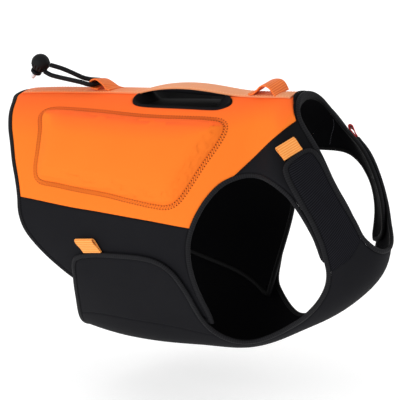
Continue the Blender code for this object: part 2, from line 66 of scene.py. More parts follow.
# %% [markdown]
# ## The trunk that the cloth is cut for
#
# Neoprene is stiff enough to keep a smooth, rounded form. The vest's form is a trunk of ten sections,
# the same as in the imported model. A place on it is (station, angle): station 0 is the rear section and
# 9 the neck, angle 0 is the spine, 90 the right flank and 180 the belly.

# %% Sections of the trunk
# Lengths in millimetres. shoulder fills a section out at 45 degrees above the middle, and pinch draws it
# in at 45 degrees below, as shares of the width.
#   top_x  top_z  bottom_x  bottom_z  half_width  shoulder  pinch
SECTIONS = np.array((
    (-20, -2, -16, -223, 96, 0.00, 0.09),
    (60, 10, 66, -232, 106, 0.00, 0.11),
    (140, 20, 147, -243, 113, 0.00, 0.14),
    (220, 30, 235, -237, 113, -0.03, 0.20),
    (280, 36, 293, -230, 99, -0.04, 0.20),
    (312, 40, 342, -206, 76, -0.03, 0.18),
    (333, 42, 389, -177, 80, 0.01, 0.18),
    (345, 42, 426, -140, 68, -0.10, 0.15),
    (352, 46, 438, -110, 46, -0.25, 0.14),
    (366, 53, 449, -97, 35, -0.25, 0.11),
), dtype=float)
NEOPRENE = 3.0
print(len(SECTIONS), "sections for cloth of", NEOPRENE, "mm")

# %% [markdown]
# A natural cubic spline runs through the sections, so a panel that is laid on the trunk has no kink
# anywhere. Its outward direction is worked out from a small step along it and a small step round it.
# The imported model's origin is inside the cloth on the spine, which gives the place to measure from.

# %% The smooth trunk
HELD_STATION = 1.5
NUDGE = 0.01
HALF_DEGREE = 0.5


def natural_bends(rows):
    """Second derivatives of a natural cubic spline through the rows, one apart."""
    count = len(rows)
    matrix = np.eye(count)
    target = np.zeros(rows.shape)
    for i in range(1, count - 1):
        matrix[i, i - 1:i + 2] = 1, 4, 1
        target[i] = 6 * (rows[i - 1] - 2 * rows[i] + rows[i + 1])
    return np.linalg.solve(matrix, target)


BENDS = natural_bends(SECTIONS)


def trunk(station, angle):
    """Points of the smooth trunk, in millimetres."""
    station, angle = np.broadcast_arrays(np.asarray(station, float), np.asarray(angle, float))
    row = np.clip(station.astype(int), 0, len(SECTIONS) - 2)
    after = (station - row)[..., None]
    before = 1 - after
    section = (before * SECTIONS[row] + after * SECTIONS[row + 1]
               + ((before**3 - before) * BENDS[row] + (after**3 - after) * BENDS[row + 1]) / 6)
    top_x, top_z, bottom_x, bottom_z, half_width, shoulder, pinch = np.moveaxis(section, -1, 0)
    height = np.cos(np.radians(angle))
    fill = np.where(height > 0, shoulder, -pinch) * 4 * height**2 * (1 - height**2)
    x = (top_x + bottom_x) / 2 + (top_x - bottom_x) / 2 * height
    z = (top_z + bottom_z) / 2 + (top_z - bottom_z) / 2 * height
    y = -half_width * np.sin(np.radians(angle)) * (1 + fill)
    return np.stack((x, y, z), axis=-1)


def tangents(station, angle):
    """Millimetres moved for one station and for one degree."""
    station, angle = np.asarray(station, float), np.asarray(angle, float)
    along = (trunk(station + NUDGE, angle) - trunk(station - NUDGE, angle)) / (2 * NUDGE)
    around = trunk(station, angle + HALF_DEGREE) - trunk(station, angle - HALF_DEGREE)
    return along, around


def outward(station, angle):
    """The direction straight out of the trunk."""
    along, around = tangents(station, angle)
    normal = np.cross(around, along)
    return normal / np.linalg.norm(normal, axis=-1, keepdims=True)


ORIGIN = trunk(HELD_STATION, 0.0) - NEOPRENE * outward(HELD_STATION, 0.0)
print("the frame's origin on the drawing, in mm:", ORIGIN.round(2))

# %% [markdown]
# Cloth is never quite even. A slow, shallow ripple under a millimetre high is added to every layer alike,
# so that highlights wander a little while pieces that touch still touch.

# %% Places on the cloth
RIPPLE = 0.35
#   radians for a millimetre along, to the side and up, and where the wave starts
RIPPLE_WAVES = ((1 / 17, 0, 1 / 23, 0), (-1 / 31, 1 / 14, 0, 1.3), (0, 1 / 27, 1 / 12, 0))


def ripple(places):
    """Half the sum of three slow waves, the same on both sides of the spine."""
    x, y, z = np.moveaxis(places, -1, 0)
    waves = sum(np.sin(x * along + np.abs(y) * aside + z * up + start)
                for along, aside, up, start in RIPPLE_WAVES)
    return RIPPLE * waves / 2


def on_cloth(station, angle, out=0.0):
    """Places that stand out of the trunk by out millimetres, in metres from the frame's origin."""
    places = trunk(station, angle)
    height = np.asarray(out, float) + ripple(places)
    return (places + outward(station, angle) * height[..., None] - ORIGIN) * MM


def in_frame(places):
    """The drawing's millimetres as metres from the frame's origin."""
    return (np.asarray(places, float) - ORIGIN) * MM


def side_signs(left):
    """What a place on the right is multiplied by to stay there, or to be on the dog's left."""
    return np.array((1, -1, 1)) if left else np.ones(3)


def distances(places):
    """How far along its line each place is."""
    return np.concatenate(((0,), np.cumsum(np.linalg.norm(np.diff(places, axis=0), axis=1))))


print("top line of the trunk in mm:", distances(trunk(np.linspace(0, 9, 91), 0.0))[-1].round(1))


# %% [markdown]
# ## Camera
#
# The photograph is taken from the vest's right front quarter, a little above, with a long lens. The
# camera looks at one point of the vest from that direction.

# %% Camera
LOOK_AT = (216.0, 0.0, -88.0)
VIEW_AZIMUTH = math.radians(32.5)
VIEW_ELEVATION = math.radians(15.8)
VIEW_DISTANCE = 4.0
LENS = 342.0
SENSOR = 36.0

camera_data = bpy.data.cameras.new("photo_camera")
camera_data.lens = LENS
camera_data.sensor_width = SENSOR
camera = bpy.data.objects.new("photo_camera", camera_data)
bpy.context.scene.collection.objects.link(camera)
backwards = Vector((math.sin(VIEW_AZIMUTH) * math.cos(VIEW_ELEVATION),
                    -math.cos(VIEW_AZIMUTH) * math.cos(VIEW_ELEVATION), math.sin(VIEW_ELEVATION)))
camera.location = Vector(in_frame(LOOK_AT)) + backwards * VIEW_DISTANCE
camera.rotation_mode = "QUATERNION"
camera.rotation_quaternion = backwards.to_track_quat("Z", "Y")
bpy.context.scene.camera = camera
bpy.context.scene.view_settings.view_transform = "Standard"
print("camera at", [round(v, 3) for v in camera.location])

# %% [markdown]
# ## Materials
#
# A few small functions serve every material. One turns an sRGB hex colour into the linear values that
# shaders work with. One adds a node, sets its values and links its inputs. The last colours a surface
# and gives it its relief. No dye takes evenly, so the colour is a little lighter and darker in patches.

# %% Colour and node helpers


def linear(hex_colour):
    """An sRGB hex colour as linear red, green, blue and alpha."""
    values = [int(hex_colour[i:i + 2], 16) / 255 for i in (1, 3, 5)]
    return (*(v / 12.92 if v <= 0.04045 else ((v + 0.055) / 1.055) ** 2.4 for v in values), 1.0)


def add_node(tree, kind, settings=None, **links):
    """Adds a node. A link is named for its input, or i and its number, and is a socket or a plain value."""
    node = tree.nodes.new(kind)
    for name, value in (settings or {}).items():
        setattr(node, name, value)
    for name, value in links.items():
        socket = node.inputs[int(name[1:]) if name[1:].isdigit() else name.replace("_", " ")]
        if isinstance(value, bpy.types.NodeSocket):
            tree.links.new(value, socket)
        else:
            socket.default_value = value
    return node


def new_material(name, **values):
    """A material whose Principled shader has those values, and its tree and shader."""
    material = bpy.data.materials.new(name)
    material.use_nodes = True
    shader = material.node_tree.nodes["Principled BSDF"]
    for socket, value in values.items():
        shader.inputs[socket.replace("_", " ")].default_value = value
    return material, material.node_tree, shader


def colour_and_relief(tree, shader, colour, uneven, patch, height=None, strength=0.0, depth=0.0):
    """Colours the surface and raises it where height is 1. patch and depth are in millimetres."""
    place = add_node(tree, "ShaderNodeTexCoord")
    patches = add_node(tree, "ShaderNodeTexNoise", Vector=place.outputs["Object"], Scale=1 / (patch * MM),
                       Detail=3.0, Roughness=0.55)
    spread = add_node(tree, "ShaderNodeMapRange", Value=patches.outputs["Fac"], To_Min=1 - uneven,
                      To_Max=1 + uneven)
    shade = add_node(tree, "ShaderNodeHueSaturation", Value=spread.outputs["Result"], Color=colour)
    tree.links.new(shade.outputs["Color"], shader.inputs["Base Color"])
    if height is not None:
        relief = add_node(tree, "ShaderNodeBump", Height=height, Strength=strength, Distance=depth * MM)
        tree.links.new(relief.outputs["Normal"], shader.inputs["Normal"])


print("middle grey is", round(linear("#808080")[0], 3), "in linear values")

# %% [markdown]
# ### Neoprene
#
# Vest neoprene is a sheet of closed-cell foam rubber with nylon jersey glued to both faces. The jersey
# is what shows: matt, with a fine knit and next to no gloss. The real knit is about 0.5 mm, which is
# finer than a pixel, so it is drawn at 1.3 mm. Shade is painted into the colour by which way the cloth
# faces: the orange is painted redder and a little darker where it faces the sky, as painted shade on the
# tops, and yellower where it faces sideways. The colour follows the surface's own upward direction, which
# Texture Coordinate gives in the object's own axes. The black is painted darker on upward faces in the same
# way, and the lining is painted darker than the outer black, as painted shade inside the vest.

# %% Neoprene
KNIT = 1.3
KNIT_DEPTH = 0.15
# Painted shade on upward faces: the colour turns between these shares of a face's upward direction.
ORANGE_SHADE_TURN = (0.65, 1.0)
BLACK_SHADE_TURN = (0.2, 0.9)


def nylon_jersey(name, side_on, painted_top_shade, turn, uneven, patch, relief, **values):
    """Jersey whose colour goes from one to a painted shade as its face turns up between the turn values."""
    material, tree, shader = new_material(name, **values)
    # Painted shade: the colour goes to the second one as the face turns up.
    facing = add_node(tree, "ShaderNodeTexCoord")
    way = add_node(tree, "ShaderNodeSeparateXYZ", Vector=facing.outputs["Normal"])
    upward = add_node(tree, "ShaderNodeMapRange", Value=way.outputs["Z"], From_Min=turn[0],
                      From_Max=turn[1])
    dye_and_painted_light = add_node(tree, "ShaderNodeMix", {"data_type": "RGBA"}, Factor=upward.outputs["Result"],
                   i6=linear(side_on), i7=linear(painted_top_shade))
    cloth = add_node(tree, "ShaderNodeUVMap", {"uv_map": "cloth"})
    fitted = add_node(tree, "ShaderNodeMapping", Vector=cloth.outputs["UV"], Scale=[1 / (KNIT * MM)] * 3)
    loops = add_node(tree, "ShaderNodeTexVoronoi", {"voronoi_dimensions": "2D"},
                     Vector=fitted.outputs["Vector"], Scale=1.0, Randomness=0.35)
    colour_and_relief(tree, shader, dye_and_painted_light.outputs[2], uneven, patch, height=loops.outputs["Distance"],
                      strength=relief, depth=KNIT_DEPTH)
    return material


# Painted shade: the orange is redder on upward faces and the black darker.
ORANGE_JERSEY = nylon_jersey("nylon_jersey_orange", "#F07727", "#FE682C", ORANGE_SHADE_TURN, uneven=0.03,
                             patch=30, relief=0.25, Roughness=0.85, Specular_IOR_Level=0.06)
BLACK_JERSEY = nylon_jersey("nylon_jersey_black", "#161619", "#070708", BLACK_SHADE_TURN, uneven=0.10,
                            patch=22, relief=0.3, Roughness=0.75, Specular_IOR_Level=0.06)
# The lining is black, painted darker than the outer black jersey as painted shade inside the vest.
LINING_JERSEY = nylon_jersey("nylon_jersey_lining", "#0A0A0C", "#08080A", BLACK_SHADE_TURN, uneven=0.10,
                             patch=22, relief=0.3, Roughness=0.75, Specular_IOR_Level=0.02)
print("neoprene drawn with loops of", KNIT, "mm")

# %% [markdown]
# ### Loop cloth
#
# The neck wings are faced with a brushed ribbed loop cloth, which hook tape grips. Its ribs run round
# the neck. They are about 1.5 mm apart, and are drawn 2.6 mm apart, because finer ones don't show in the
# render. A wave texture over the cloth's own UV map gives them their height and their shade. It has
# 20 / 2 pi crests for each unit at a scale of 1, so its scale is worked out from the size of a rib.

# %% Ribbed loop cloth
LOOP_RIB = 2.6


def ribs_across(tree, direction, rib, **character):
    """The height of waves along a UV direction, with one crest for each rib of that size."""
    cloth = add_node(tree, "ShaderNodeUVMap", {"uv_map": "cloth"})
    wave = add_node(tree, "ShaderNodeTexWave", {"wave_type": "BANDS", "bands_direction": direction},
                    Vector=cloth.outputs["UV"], Scale=2 * math.pi / (20 * rib * MM), **character)
    return wave.outputs["Fac"]


def ribbed_loop_cloth():
    material, tree, shader = new_material("brushed_loop_cloth", Roughness=0.9, Specular_IOR_Level=0.04)
    ribs = ribs_across(tree, "Y", LOOP_RIB, Distortion=1.5, Detail=2.0, Detail_Scale=0.3)
    nap = add_node(tree, "ShaderNodeMix", {"data_type": "RGBA"}, Factor=ribs, i6=linear("#09090B"),
                   i7=linear("#212126"))
    colour_and_relief(tree, shader, nap.outputs[2], uneven=0.12, patch=9, height=ribs, strength=0.8,
                      depth=0.4)
    return material


LOOP_CLOTH = ribbed_loop_cloth()
print("loop cloth drawn with ribs of", LOOP_RIB, "mm")

# %% [markdown]
# ### Tape
#
# The edges are bound with a folded knitted tape, ribbed across and a touch glossier than the jersey. Its
# inner face is painted near black, as painted shade inside the vest. Its UV map runs along the tape, and
# then round its section, where the inner face starts 7.5 mm from the first edge. The ribs are about
# 1.5 mm apart, and are drawn 2.4 mm apart so that they show, and so are those of the webbing.

# %% Tape
RIB = 2.4
TAPE_TURNS_IN = 7.5
TAPE_INSIDE = 9.5


def binding_tape():
    material, tree, shader = new_material("folded_binding_tape", Roughness=0.6, Specular_IOR_Level=0.1)
    ribs = ribs_across(tree, "X", RIB, Distortion=1.0, Detail=1.0)
    knit = add_node(tree, "ShaderNodeMix", {"data_type": "RGBA"}, Factor=ribs, i6=linear("#0C0C0E"),
                    i7=linear("#1D1D20"))
    cloth = add_node(tree, "ShaderNodeUVMap", {"uv_map": "cloth"})
    round_tape = add_node(tree, "ShaderNodeSeparateXYZ", Vector=cloth.outputs["UV"])
    within = add_node(tree, "ShaderNodeMapRange", Value=round_tape.outputs["Y"],
                      From_Min=TAPE_TURNS_IN * MM, From_Max=TAPE_INSIDE * MM)
    # Painted shade: the inner face of the tape is drawn near black.
    inner_face_painted_shade = add_node(tree, "ShaderNodeMix", {"data_type": "RGBA"}, Factor=within.outputs["Result"],
                    i6=knit.outputs[2], i7=linear("#060607"))
    colour_and_relief(tree, shader, inner_face_painted_shade.outputs[2], uneven=0.15, patch=12, height=ribs, strength=0.5,
                      depth=0.3)
    return material


TAPE = binding_tape()
print("tape and webbing drawn with ribs of", RIB, "mm")

# %% [markdown]
# ### Webbing
#
# The webbing is plain woven nylon, with ribs of weft across it; painted shade darkens the grooves between
# them. The one on the spine has a painted sheen that makes it paler towards the neck.

# %% Webbing cloth
SHEEN_FROM = -30.0
SHEEN_TO = 90.0


def woven_webbing(name, colour, shadow, painted_sheen=None):
    material, tree, shader = new_material(name, Roughness=0.55, Specular_IOR_Level=0.25)
    ribs = ribs_across(tree, "X", RIB, Distortion=0.6, Detail=1.0)
    # Painted shade: the shadow colour darkens the grooves between the ribs.
    dye_and_painted_light = add_node(tree, "ShaderNodeMix", {"data_type": "RGBA"}, Factor=ribs, i6=linear(shadow),
                   i7=linear(colour))
    # Painted sheen: a paler colour towards the neck along x.
    if painted_sheen:
        place = add_node(tree, "ShaderNodeTexCoord")
        along = add_node(tree, "ShaderNodeSeparateXYZ", Vector=place.outputs["Object"])
        sheen_share = add_node(tree, "ShaderNodeMapRange", {"interpolation_type": "SMOOTHSTEP"},
                        Value=along.outputs["X"], From_Min=SHEEN_FROM * MM, From_Max=SHEEN_TO * MM)
        dye_and_painted_light = add_node(tree, "ShaderNodeMix", {"data_type": "RGBA"}, Factor=sheen_share.outputs["Result"],
                       i6=dye_and_painted_light.outputs[2], i7=linear(painted_sheen))
    colour_and_relief(tree, shader, dye_and_painted_light.outputs[2], uneven=0.05, patch=14, height=ribs, strength=0.6,
                      depth=0.3)
    return material


# The spine webbing's paler colour towards the neck is a painted sheen.
SPINE_WEBBING = woven_webbing("woven_nylon_orange_painted_sheen", "#FA8C4A", "#DC6229", painted_sheen="#EC9A6A")
LOOP_WEBBING = woven_webbing("woven_nylon_orange", "#F6843C", "#E06526")
TAB_WEBBING = woven_webbing("woven_nylon_light_orange", "#F4A85A", "#EA8834")
# Painted shade: light orange webbing drawn red, for the far neck tab in shadow.
SHADED_TAB_WEBBING = woven_webbing("woven_nylon_light_orange_painted_shade", "#D9262B", "#BE1D22")
print("webbing on the spine is worn from x =", SHEEN_FROM, "to", SHEEN_TO, "mm")

# %% [markdown]
# ### Cord and plastic
#
# The elastic cord has a braided sleeve. The toggle is moulded nylon with a satin face, and the cord's
# end tip is clear vinyl. A fine etched grain in the mould makes the plastic's gloss a little uneven.

# %% Cord and plastic
BRAID = 1.6
GLOSS_SPREAD = 0.06


def braided_sleeve():
    material, tree, shader = new_material("braided_elastic_cord", Roughness=0.6, Specular_IOR_Level=0.12)
    place = add_node(tree, "ShaderNodeTexCoord")
    strands = add_node(tree, "ShaderNodeTexVoronoi", Vector=place.outputs["Object"],
                       Scale=1 / (BRAID * MM), Randomness=0.3)
    colour_and_relief(tree, shader, linear("#0C0C0E"), uneven=0.2, patch=4,
                      height=strands.outputs["Distance"], strength=0.7, depth=0.3)
    return material


def moulded_plastic(name, colour, roughness, grain, **values):
    """Plastic with that roughness, a little more or less in grains of that size in millimetres."""
    material, tree, shader = new_material(name, Base_Color=linear(colour), **values)
    place = add_node(tree, "ShaderNodeTexCoord")
    etched = add_node(tree, "ShaderNodeTexNoise", Vector=place.outputs["Object"], Scale=1 / (grain * MM),
                      Detail=2.0)
    gloss = add_node(tree, "ShaderNodeMapRange", Value=etched.outputs["Fac"],
                     To_Min=roughness - GLOSS_SPREAD, To_Max=roughness + GLOSS_SPREAD)
    tree.links.new(gloss.outputs["Result"], shader.inputs["Roughness"])
    relief = add_node(tree, "ShaderNodeBump", Height=etched.outputs["Fac"], Strength=0.2,
                      Distance=0.1 * MM)
    tree.links.new(relief.outputs["Normal"], shader.inputs["Normal"])
    return material


CORD_SLEEVE = braided_sleeve()
TOGGLE_PLASTIC = moulded_plastic("moulded_nylon_black", "#0A0A0C", roughness=0.58, grain=1.2,
                                 Specular_IOR_Level=0.15)
CLEAR_PLASTIC = moulded_plastic("clear_vinyl", "#D2D5D8", roughness=0.3, grain=2.0, IOR=1.5)
print("cord drawn with a braid of", BRAID, "mm")

# %% [markdown]
# ### Thread
#
# Four polyester threads show: dark red round the pads, pale orange on the webbing, black on the tape
# and grey inside the yokes. A thread is thinner than a pixel, so a stitch is drawn a little thick.

# %% Thread


def polyester_thread(name, colour):
    material, tree, shader = new_material(name, Roughness=0.6, Specular_IOR_Level=0.2)
    colour_and_relief(tree, shader, linear(colour), uneven=0.15, patch=3)
    return material


RED_THREAD = polyester_thread("polyester_thread_dark_red", "#5E1806")
PALE_THREAD = polyester_thread("polyester_thread_pale_orange", "#F9C79C")
BLACK_THREAD = polyester_thread("polyester_thread_black", "#0E0E10")
GREY_THREAD = polyester_thread("polyester_thread_grey", "#4A4A50")
print("materials so far:", len(bpy.data.materials))

# %% [markdown]
# ## Cutting the panels
#
# A maker cuts a panel flat and sews it to its neighbours, which makes it bend. The same is done here. An
# outline is a smooth line through a few places, and every edge has its own seam or binding allowance,
# by which it is moved in. The flat panel is cut along a fine grid, so that it can bend, and then laid
# on the trunk.

# %% Edges and outlines
# Millimetres: from point to point of an outline, from the edge to the end of the tape, between a piece
# and what it lies on, and from the saddle's face to the inside of the bib.
STEP = 4.0
BINDING = 5.0
GAP = 0.3
LAYER = 1.3
# How far a panel is moved in from an edge that is bound, and from one that is sewn to its neighbour.
BOUND = BINDING + 0.05
SEWN = 0.03


def smooth_line(points, step, between=lambda a, b: b - a, first=0, last=None):
    """A Catmull-Rom curve through the points, with a place about every step as between measures it."""
    control = np.array(points, dtype=float)
    last = len(control) - 1 if last is None else last
    control = np.vstack((2 * control[0] - control[1], control, 2 * control[-1] - control[-2]))
    samples = []
    for i in range(first, last):
        a, b, c, d = control[i:i + 4]
        count = max(1, round(np.linalg.norm(between(b, c)) / step))
        t = (np.arange(count) / count)[:, None]
        samples.append((2 * b + (c - a) * t + (2 * a - 5 * b + 4 * c - d) * t**2
                        + (3 * b - a - 3 * c + d) * t**3) / 2)
    return np.vstack(samples + [control[last + 1]])


def edge(points, first=0, last=None):
    """Samples a smooth curve through the points, from point number first to point number last."""
    return smooth_line(points, STEP, lambda a, b: trunk(*b) - trunk(*a), first, last)


def mirrored(line, about=0):
    """The same line on the dog's other side, run the other way."""
    return np.column_stack((line[:, 0], 2 * about - line[:, 1]))[::-1]


def closed(*sides):
    """Joins (line, inset) sides, end to end, into an outline and the inset of each of its spans."""
    points = np.vstack([line[:-1] for line, inset in sides])
    insets = np.concatenate([np.full(len(line) - 1, inset) for line, inset in sides])
    return points, insets


print("a panel stops", BOUND, "mm from a bound edge and", SEWN, "mm from a seam")

# %% [markdown]
# An allowance is measured square to the edge, on the cloth. At each point the trunk is close enough to
# flat, so the point is moved in a flat plane that touches it. Where two allowances meet at an angle,
# the point goes to where the two moved edges cross.

# %% Allowances
NEARLY_STRAIGHT = 0.05


def shrink(points, insets):
    """Moves each span of an outline inwards on the trunk by its inset, in millimetres."""
    insets = np.broadcast_to(np.asarray(insets, float), (len(points),))
    x, y = points.T
    turn = np.sign(np.sum(x * np.roll(y, -1) - np.roll(x, -1) * y))
    along, around = tangents(x, y)
    moved = []
    for i, point in enumerate(points):
        axes_on_trunk = np.column_stack((along[i], around[i]))
        axes = np.linalg.qr(axes_on_trunk)[0]
        local = axes.T @ axes_on_trunk
        spans = [local @ (point - points[i - 1]), local @ (points[(i + 1) % len(points)] - point)]
        side = np.sign(np.linalg.det(local)) * turn
        normals = [side * np.array((-s[1], s[0])) / np.linalg.norm(s) for s in spans]
        wanted = np.array((insets[i - 1], insets[i]))
        if insets[i - 1] != insets[i] and abs(np.cross(normals[0], normals[1])) > NEARLY_STRAIGHT:
            shift = np.linalg.solve(np.array(normals), wanted)
        else:
            middle = normals[0] + normals[1]
            share = 2 / max(np.dot(middle, middle), 1.0)
            shift = middle * wanted.mean() * share
        moved.append(point + np.linalg.solve(local, shift))
    return np.array(moved)


sample = np.array(((1.0, 60.0), (2.0, 60.0), (2.0, 100.0), (1.0, 100.0)))
print("a sample panel, and the same 10 mm further in:", sample.tolist(), shrink(sample, 10).round(2).tolist())

# %% [markdown]
# Where a binding meets a seam, the corner of the panel moves in by the binding's whole width. The points
# of the seam that it passes are dropped, or the outline would double back there. They are all within
# three points of the corner.

# %% Corners
CORNER_CLEAR = 3.5
CORNER_POINTS = 3


def inside_allowances(cut, insets):
    """The cut moved in by its allowances, without the points that lie too near a corner or past it."""
    outline = shrink(cut, insets)
    before, after = trunk(*cut.T), trunk(*outline.T)
    keep = np.ones(len(cut), bool)
    corners = set(np.flatnonzero(insets != np.roll(insets, 1)))
    for corner in corners:
        for side in (-1, 1):
            near = [(corner + side * i) % len(cut) for i in range(1, CORNER_POINTS + 1)]
            way = before[near[0]] - before[corner]
            for i in near:
                if i in corners:
                    break
                keep[i] &= (after[i] - after[corner]) @ way > CORNER_CLEAR * np.linalg.norm(way)
    return outline[keep]


print("points stay", CORNER_CLEAR, "mm clear of a corner")

# %% [markdown]
# The flat panel lives in a bmesh whose x is 80 mm for a station and whose y is 1.9 mm for a degree, so
# that it is close to real size. bisect_plane cuts it along lines about 5 mm apart on the cloth. Stations
# are closer together from number 4 on, so each has fewer cuts there. Rings of points inside the outline
# let its edge roll down towards the seam, as foam does where a thread pulls it in: ROLLED_EDGE holds
# (distance inside the edge, height) places.

# %% Flat panels
PLAN = np.array((80.0, 1.9))
STATION_CUTS = np.concatenate((np.arange(0, 4, 1 / 16), np.arange(4, 9.1, 1 / 6)))
ANGLE_CUTS = np.arange(-360, 361, 2.5)
ROLLED_EDGE = ((0.0, -0.75), (0.8, -0.25), (2.2, 0.0))
SAME_PLACE = 0.01


def flat_verts(plan, outline):
    return [plan.verts.new((*(point * PLAN), 0)) for point in outline]


def cut_for_bends(plan):
    corners = np.array([v.co for v in plan.verts])
    for axis, cuts in ((0, STATION_CUTS * PLAN[0]), (1, ANGLE_CUTS * PLAN[1])):
        low, high = corners[:, axis].min() + SAME_PLACE, corners[:, axis].max() - SAME_PLACE
        normal = np.eye(3)[axis]
        for cut in cuts[(cuts > low) & (cuts < high)]:
            bmesh.ops.bisect_plane(plan, geom=plan.verts[:] + plan.edges[:] + plan.faces[:],
                                   dist=SAME_PLACE, plane_co=normal * cut, plane_no=normal)


def ring_distances(section):
    """The distances inside the edge at which a section bends."""
    return [distance for distance, height in section[1:]]


def flat_shape(outline, rings=()):
    """A panel cut flat, with a line of points inside it at each distance in rings."""
    plan = bmesh.new()
    rim = flat_verts(plan, outline)
    for inset in rings:
        inside = flat_verts(plan, shrink(outline, inset))
        for i in range(len(rim)):
            j = (i + 1) % len(rim)
            plan.faces.new((rim[i], rim[j], inside[j], inside[i]))
        rim = inside
    plan.faces.new(rim)
    cut_for_bends(plan)
    return plan


def height_inside(outline, section):
    """A depth that follows the section's heights by the distance inside the outline."""
    starts = trunk(*outline.T)
    spans = np.roll(starts, -1, axis=0) - starts
    away_from_edge, heights = np.array(section).T

    def depth(station, angle):
        nearest = np.full(len(station), np.inf)
        places = trunk(station, angle)
        for start, span in zip(starts, spans):
            away = places - start
            share = np.clip(away @ span / (span @ span), 0, 1)
            nearest = np.minimum(nearest, np.linalg.norm(away - share[:, None] * span, axis=1))
        return np.interp(nearest, away_from_edge, heights)
    return depth


print("lines that cloth bends on:", len(STATION_CUTS), "across and", len(ANGLE_CUTS), "along the trunk")

# %% [markdown]
# ## Finishing a piece
#
# Every piece is shaded smooth with its sharp edges kept, and its faces are turned outwards. It rides on
# the imported model's only body, and the imported model's nodes that it stands for are hidden.

# %% Finish a piece
SHARP = 50
pieces = {}


def finish_piece(name, mesh_or_curve, materials, slot, *nodes):
    """Makes the object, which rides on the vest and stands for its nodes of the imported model."""
    thing = bpy.data.objects.new(name, mesh_or_curve)
    for material in materials:
        thing.data.materials.append(material)
    bpy.context.scene.collection.objects.link(thing)
    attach(thing, "root")
    if nodes:
        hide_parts(*nodes)
    pieces[name] = thing
    return thing


def smooth_mesh(name, shape):
    """A smooth-shaded mesh of the bmesh."""
    mesh = bpy.data.meshes.new(name)
    shape.to_mesh(mesh)
    shape.free()
    mesh.shade_smooth()
    return mesh


def closed_mesh(name, shape, sharp_above=SHARP):
    """A smooth-shaded mesh of the closed bmesh, facing outwards, with its sharp edges kept sharp."""
    bmesh.ops.recalc_face_normals(shape, faces=shape.faces)
    if shape.calc_volume(signed=True) < 0:
        bmesh.ops.reverse_faces(shape, faces=shape.faces)
    mesh = smooth_mesh(name, shape)
    mesh.set_sharp_from_angle(angle=math.radians(sharp_above))
    return mesh


print("edges sharper than", SHARP, "degrees stay sharp")

# %% [markdown]
# ## Laying a panel on the trunk
#
# The flat panel is copied with extrude_face_region, and the two copies are put at the depths of its inner
# and outer face. The outer face has the first material and the inner face the last. A UV map named
# cloth keeps each point's place on the flat panel, in metres, so that a knit follows the cloth.

# %% Lay a panel


def softened(plan, depths, rounds):
    """Evens the depths out over the flat panel, but not on its rim."""
    ends = np.array([[v.index for v in e.verts] for e in plan.edges])
    free = np.array([not v.is_boundary for v in plan.verts])
    count = np.bincount(ends.ravel(), minlength=len(depths))
    for _ in range(rounds):
        total = np.zeros(len(depths))
        np.add.at(total, ends[:, 0], depths[ends[:, 1]])
        np.add.at(total, ends[:, 1], depths[ends[:, 0]])
        depths = np.where(free, (depths + total / count) / 2, depths)
    return depths


def lay(name, plan, materials, slot, inner, outer, *nodes, left=False, soften=0):
    """Lays a flat panel on the trunk. inner and outer are depths in millimetres, or functions."""
    plan.verts.index_update()
    station, angle = (np.array([v.co[:2] for v in plan.verts]) / PLAN).T
    low, high = [f(station, angle) if callable(f) else np.full(len(station), f) for f in (inner, outer)]
    high = softened(plan, high, soften) if soften else high
    depth = plan.verts.layers.float.new("depth")
    height = plan.verts.layers.float.new("height")
    for vert, a, b in zip(plan.verts, low, high):
        vert[depth], vert[height] = a, b
    made = bmesh.ops.extrude_face_region(plan, geom=plan.faces[:] + plan.edges[:] + plan.verts[:],
                                         use_keep_orig=True)["geom"]
    lifted = {v for v in made if isinstance(v, bmesh.types.BMVert)}
    cloth = plan.loops.layers.uv.new("cloth")
    for face in plan.faces:
        face.material_index = 0 if any(v in lifted for v in face.verts) else len(materials) - 1
        for loop in face.loops:
            loop[cloth].uv = loop.vert.co.xy * MM
    verts = list(plan.verts)
    station, angle = (np.array([v.co[:2] for v in verts]) / PLAN).T
    out = np.array([v[height] if v in lifted else v[depth] for v in verts])
    for vert, place in zip(verts, on_cloth(station, angle, out) * side_signs(left)):
        vert.co = place
    return finish_piece(name, closed_mesh(name, plan), materials, slot, *nodes)


print("a station is", PLAN[0], "mm long on a flat panel, and a degree", PLAN[1], "mm")

# %% [markdown]


# %% [markdown]
# ## Outlines of the saddle
#
# The same edges as in the imported model, as (station, angle) on the dog's right. The hem, the foot of the
# flank, the armhole, the foot of the yoke and the neck are bound with tape; the other lines are seams.
# A name that ends in _SEAM with one number says at which point of an edge a seam meets it.

# %% Outlines of the saddle
HEM = ((.10, 0), (.11, 9), (.20, 18), (.30, 29), (.43, 40), (.57, 50), (.69, 60), (.80, 69),
       (.87, 77), (.91, 86), (1.01, 94), (1.21, 102), (1.44, 109), (1.72, 116), (2.05, 121))
HEM_SEAM = 8
FLANK_FOOT = ((2.05, 121), (2.40, 124), (2.80, 128), (3.15, 133), (3.42, 138), (3.56, 139))
ARMHOLE = ((3.56, 139), (3.58, 133), (3.58, 124), (3.59, 115), (3.62, 106), (3.66, 97), (3.70, 90),
           (3.77, 84), (3.88, 78), (4.04, 72), (4.24, 67.5), (4.45, 65.6), (4.72, 65), (4.98, 65.6),
           (5.37, 67.4), (5.62, 69), (5.85, 71), (6.07, 73.7), (6.26, 77), (6.41, 80.4), (6.52, 84),
           (6.67, 92), (6.73, 100), (6.72, 109), (6.65, 116), (6.57, 123), (6.60, 127.5))
ARMHOLE_SIDE_SEAM = 7
ARMHOLE_YOKE_SEAM = 11
YOKE_FOOT = ((6.60, 127.5), (6.80, 131), (7.20, 133), (7.70, 132), (8.10, 129.5), (8.30, 125))
NECK = ((7.30, 0), (7.32, 12), (7.38, 24), (7.53, 36.8), (7.77, 48.8), (8.04, 59.4), (8.33, 72),
        (8.45, 80), (8.50, 89), (8.50, 107), (8.42, 118), (8.30, 125))
NECK_SEAM = 3
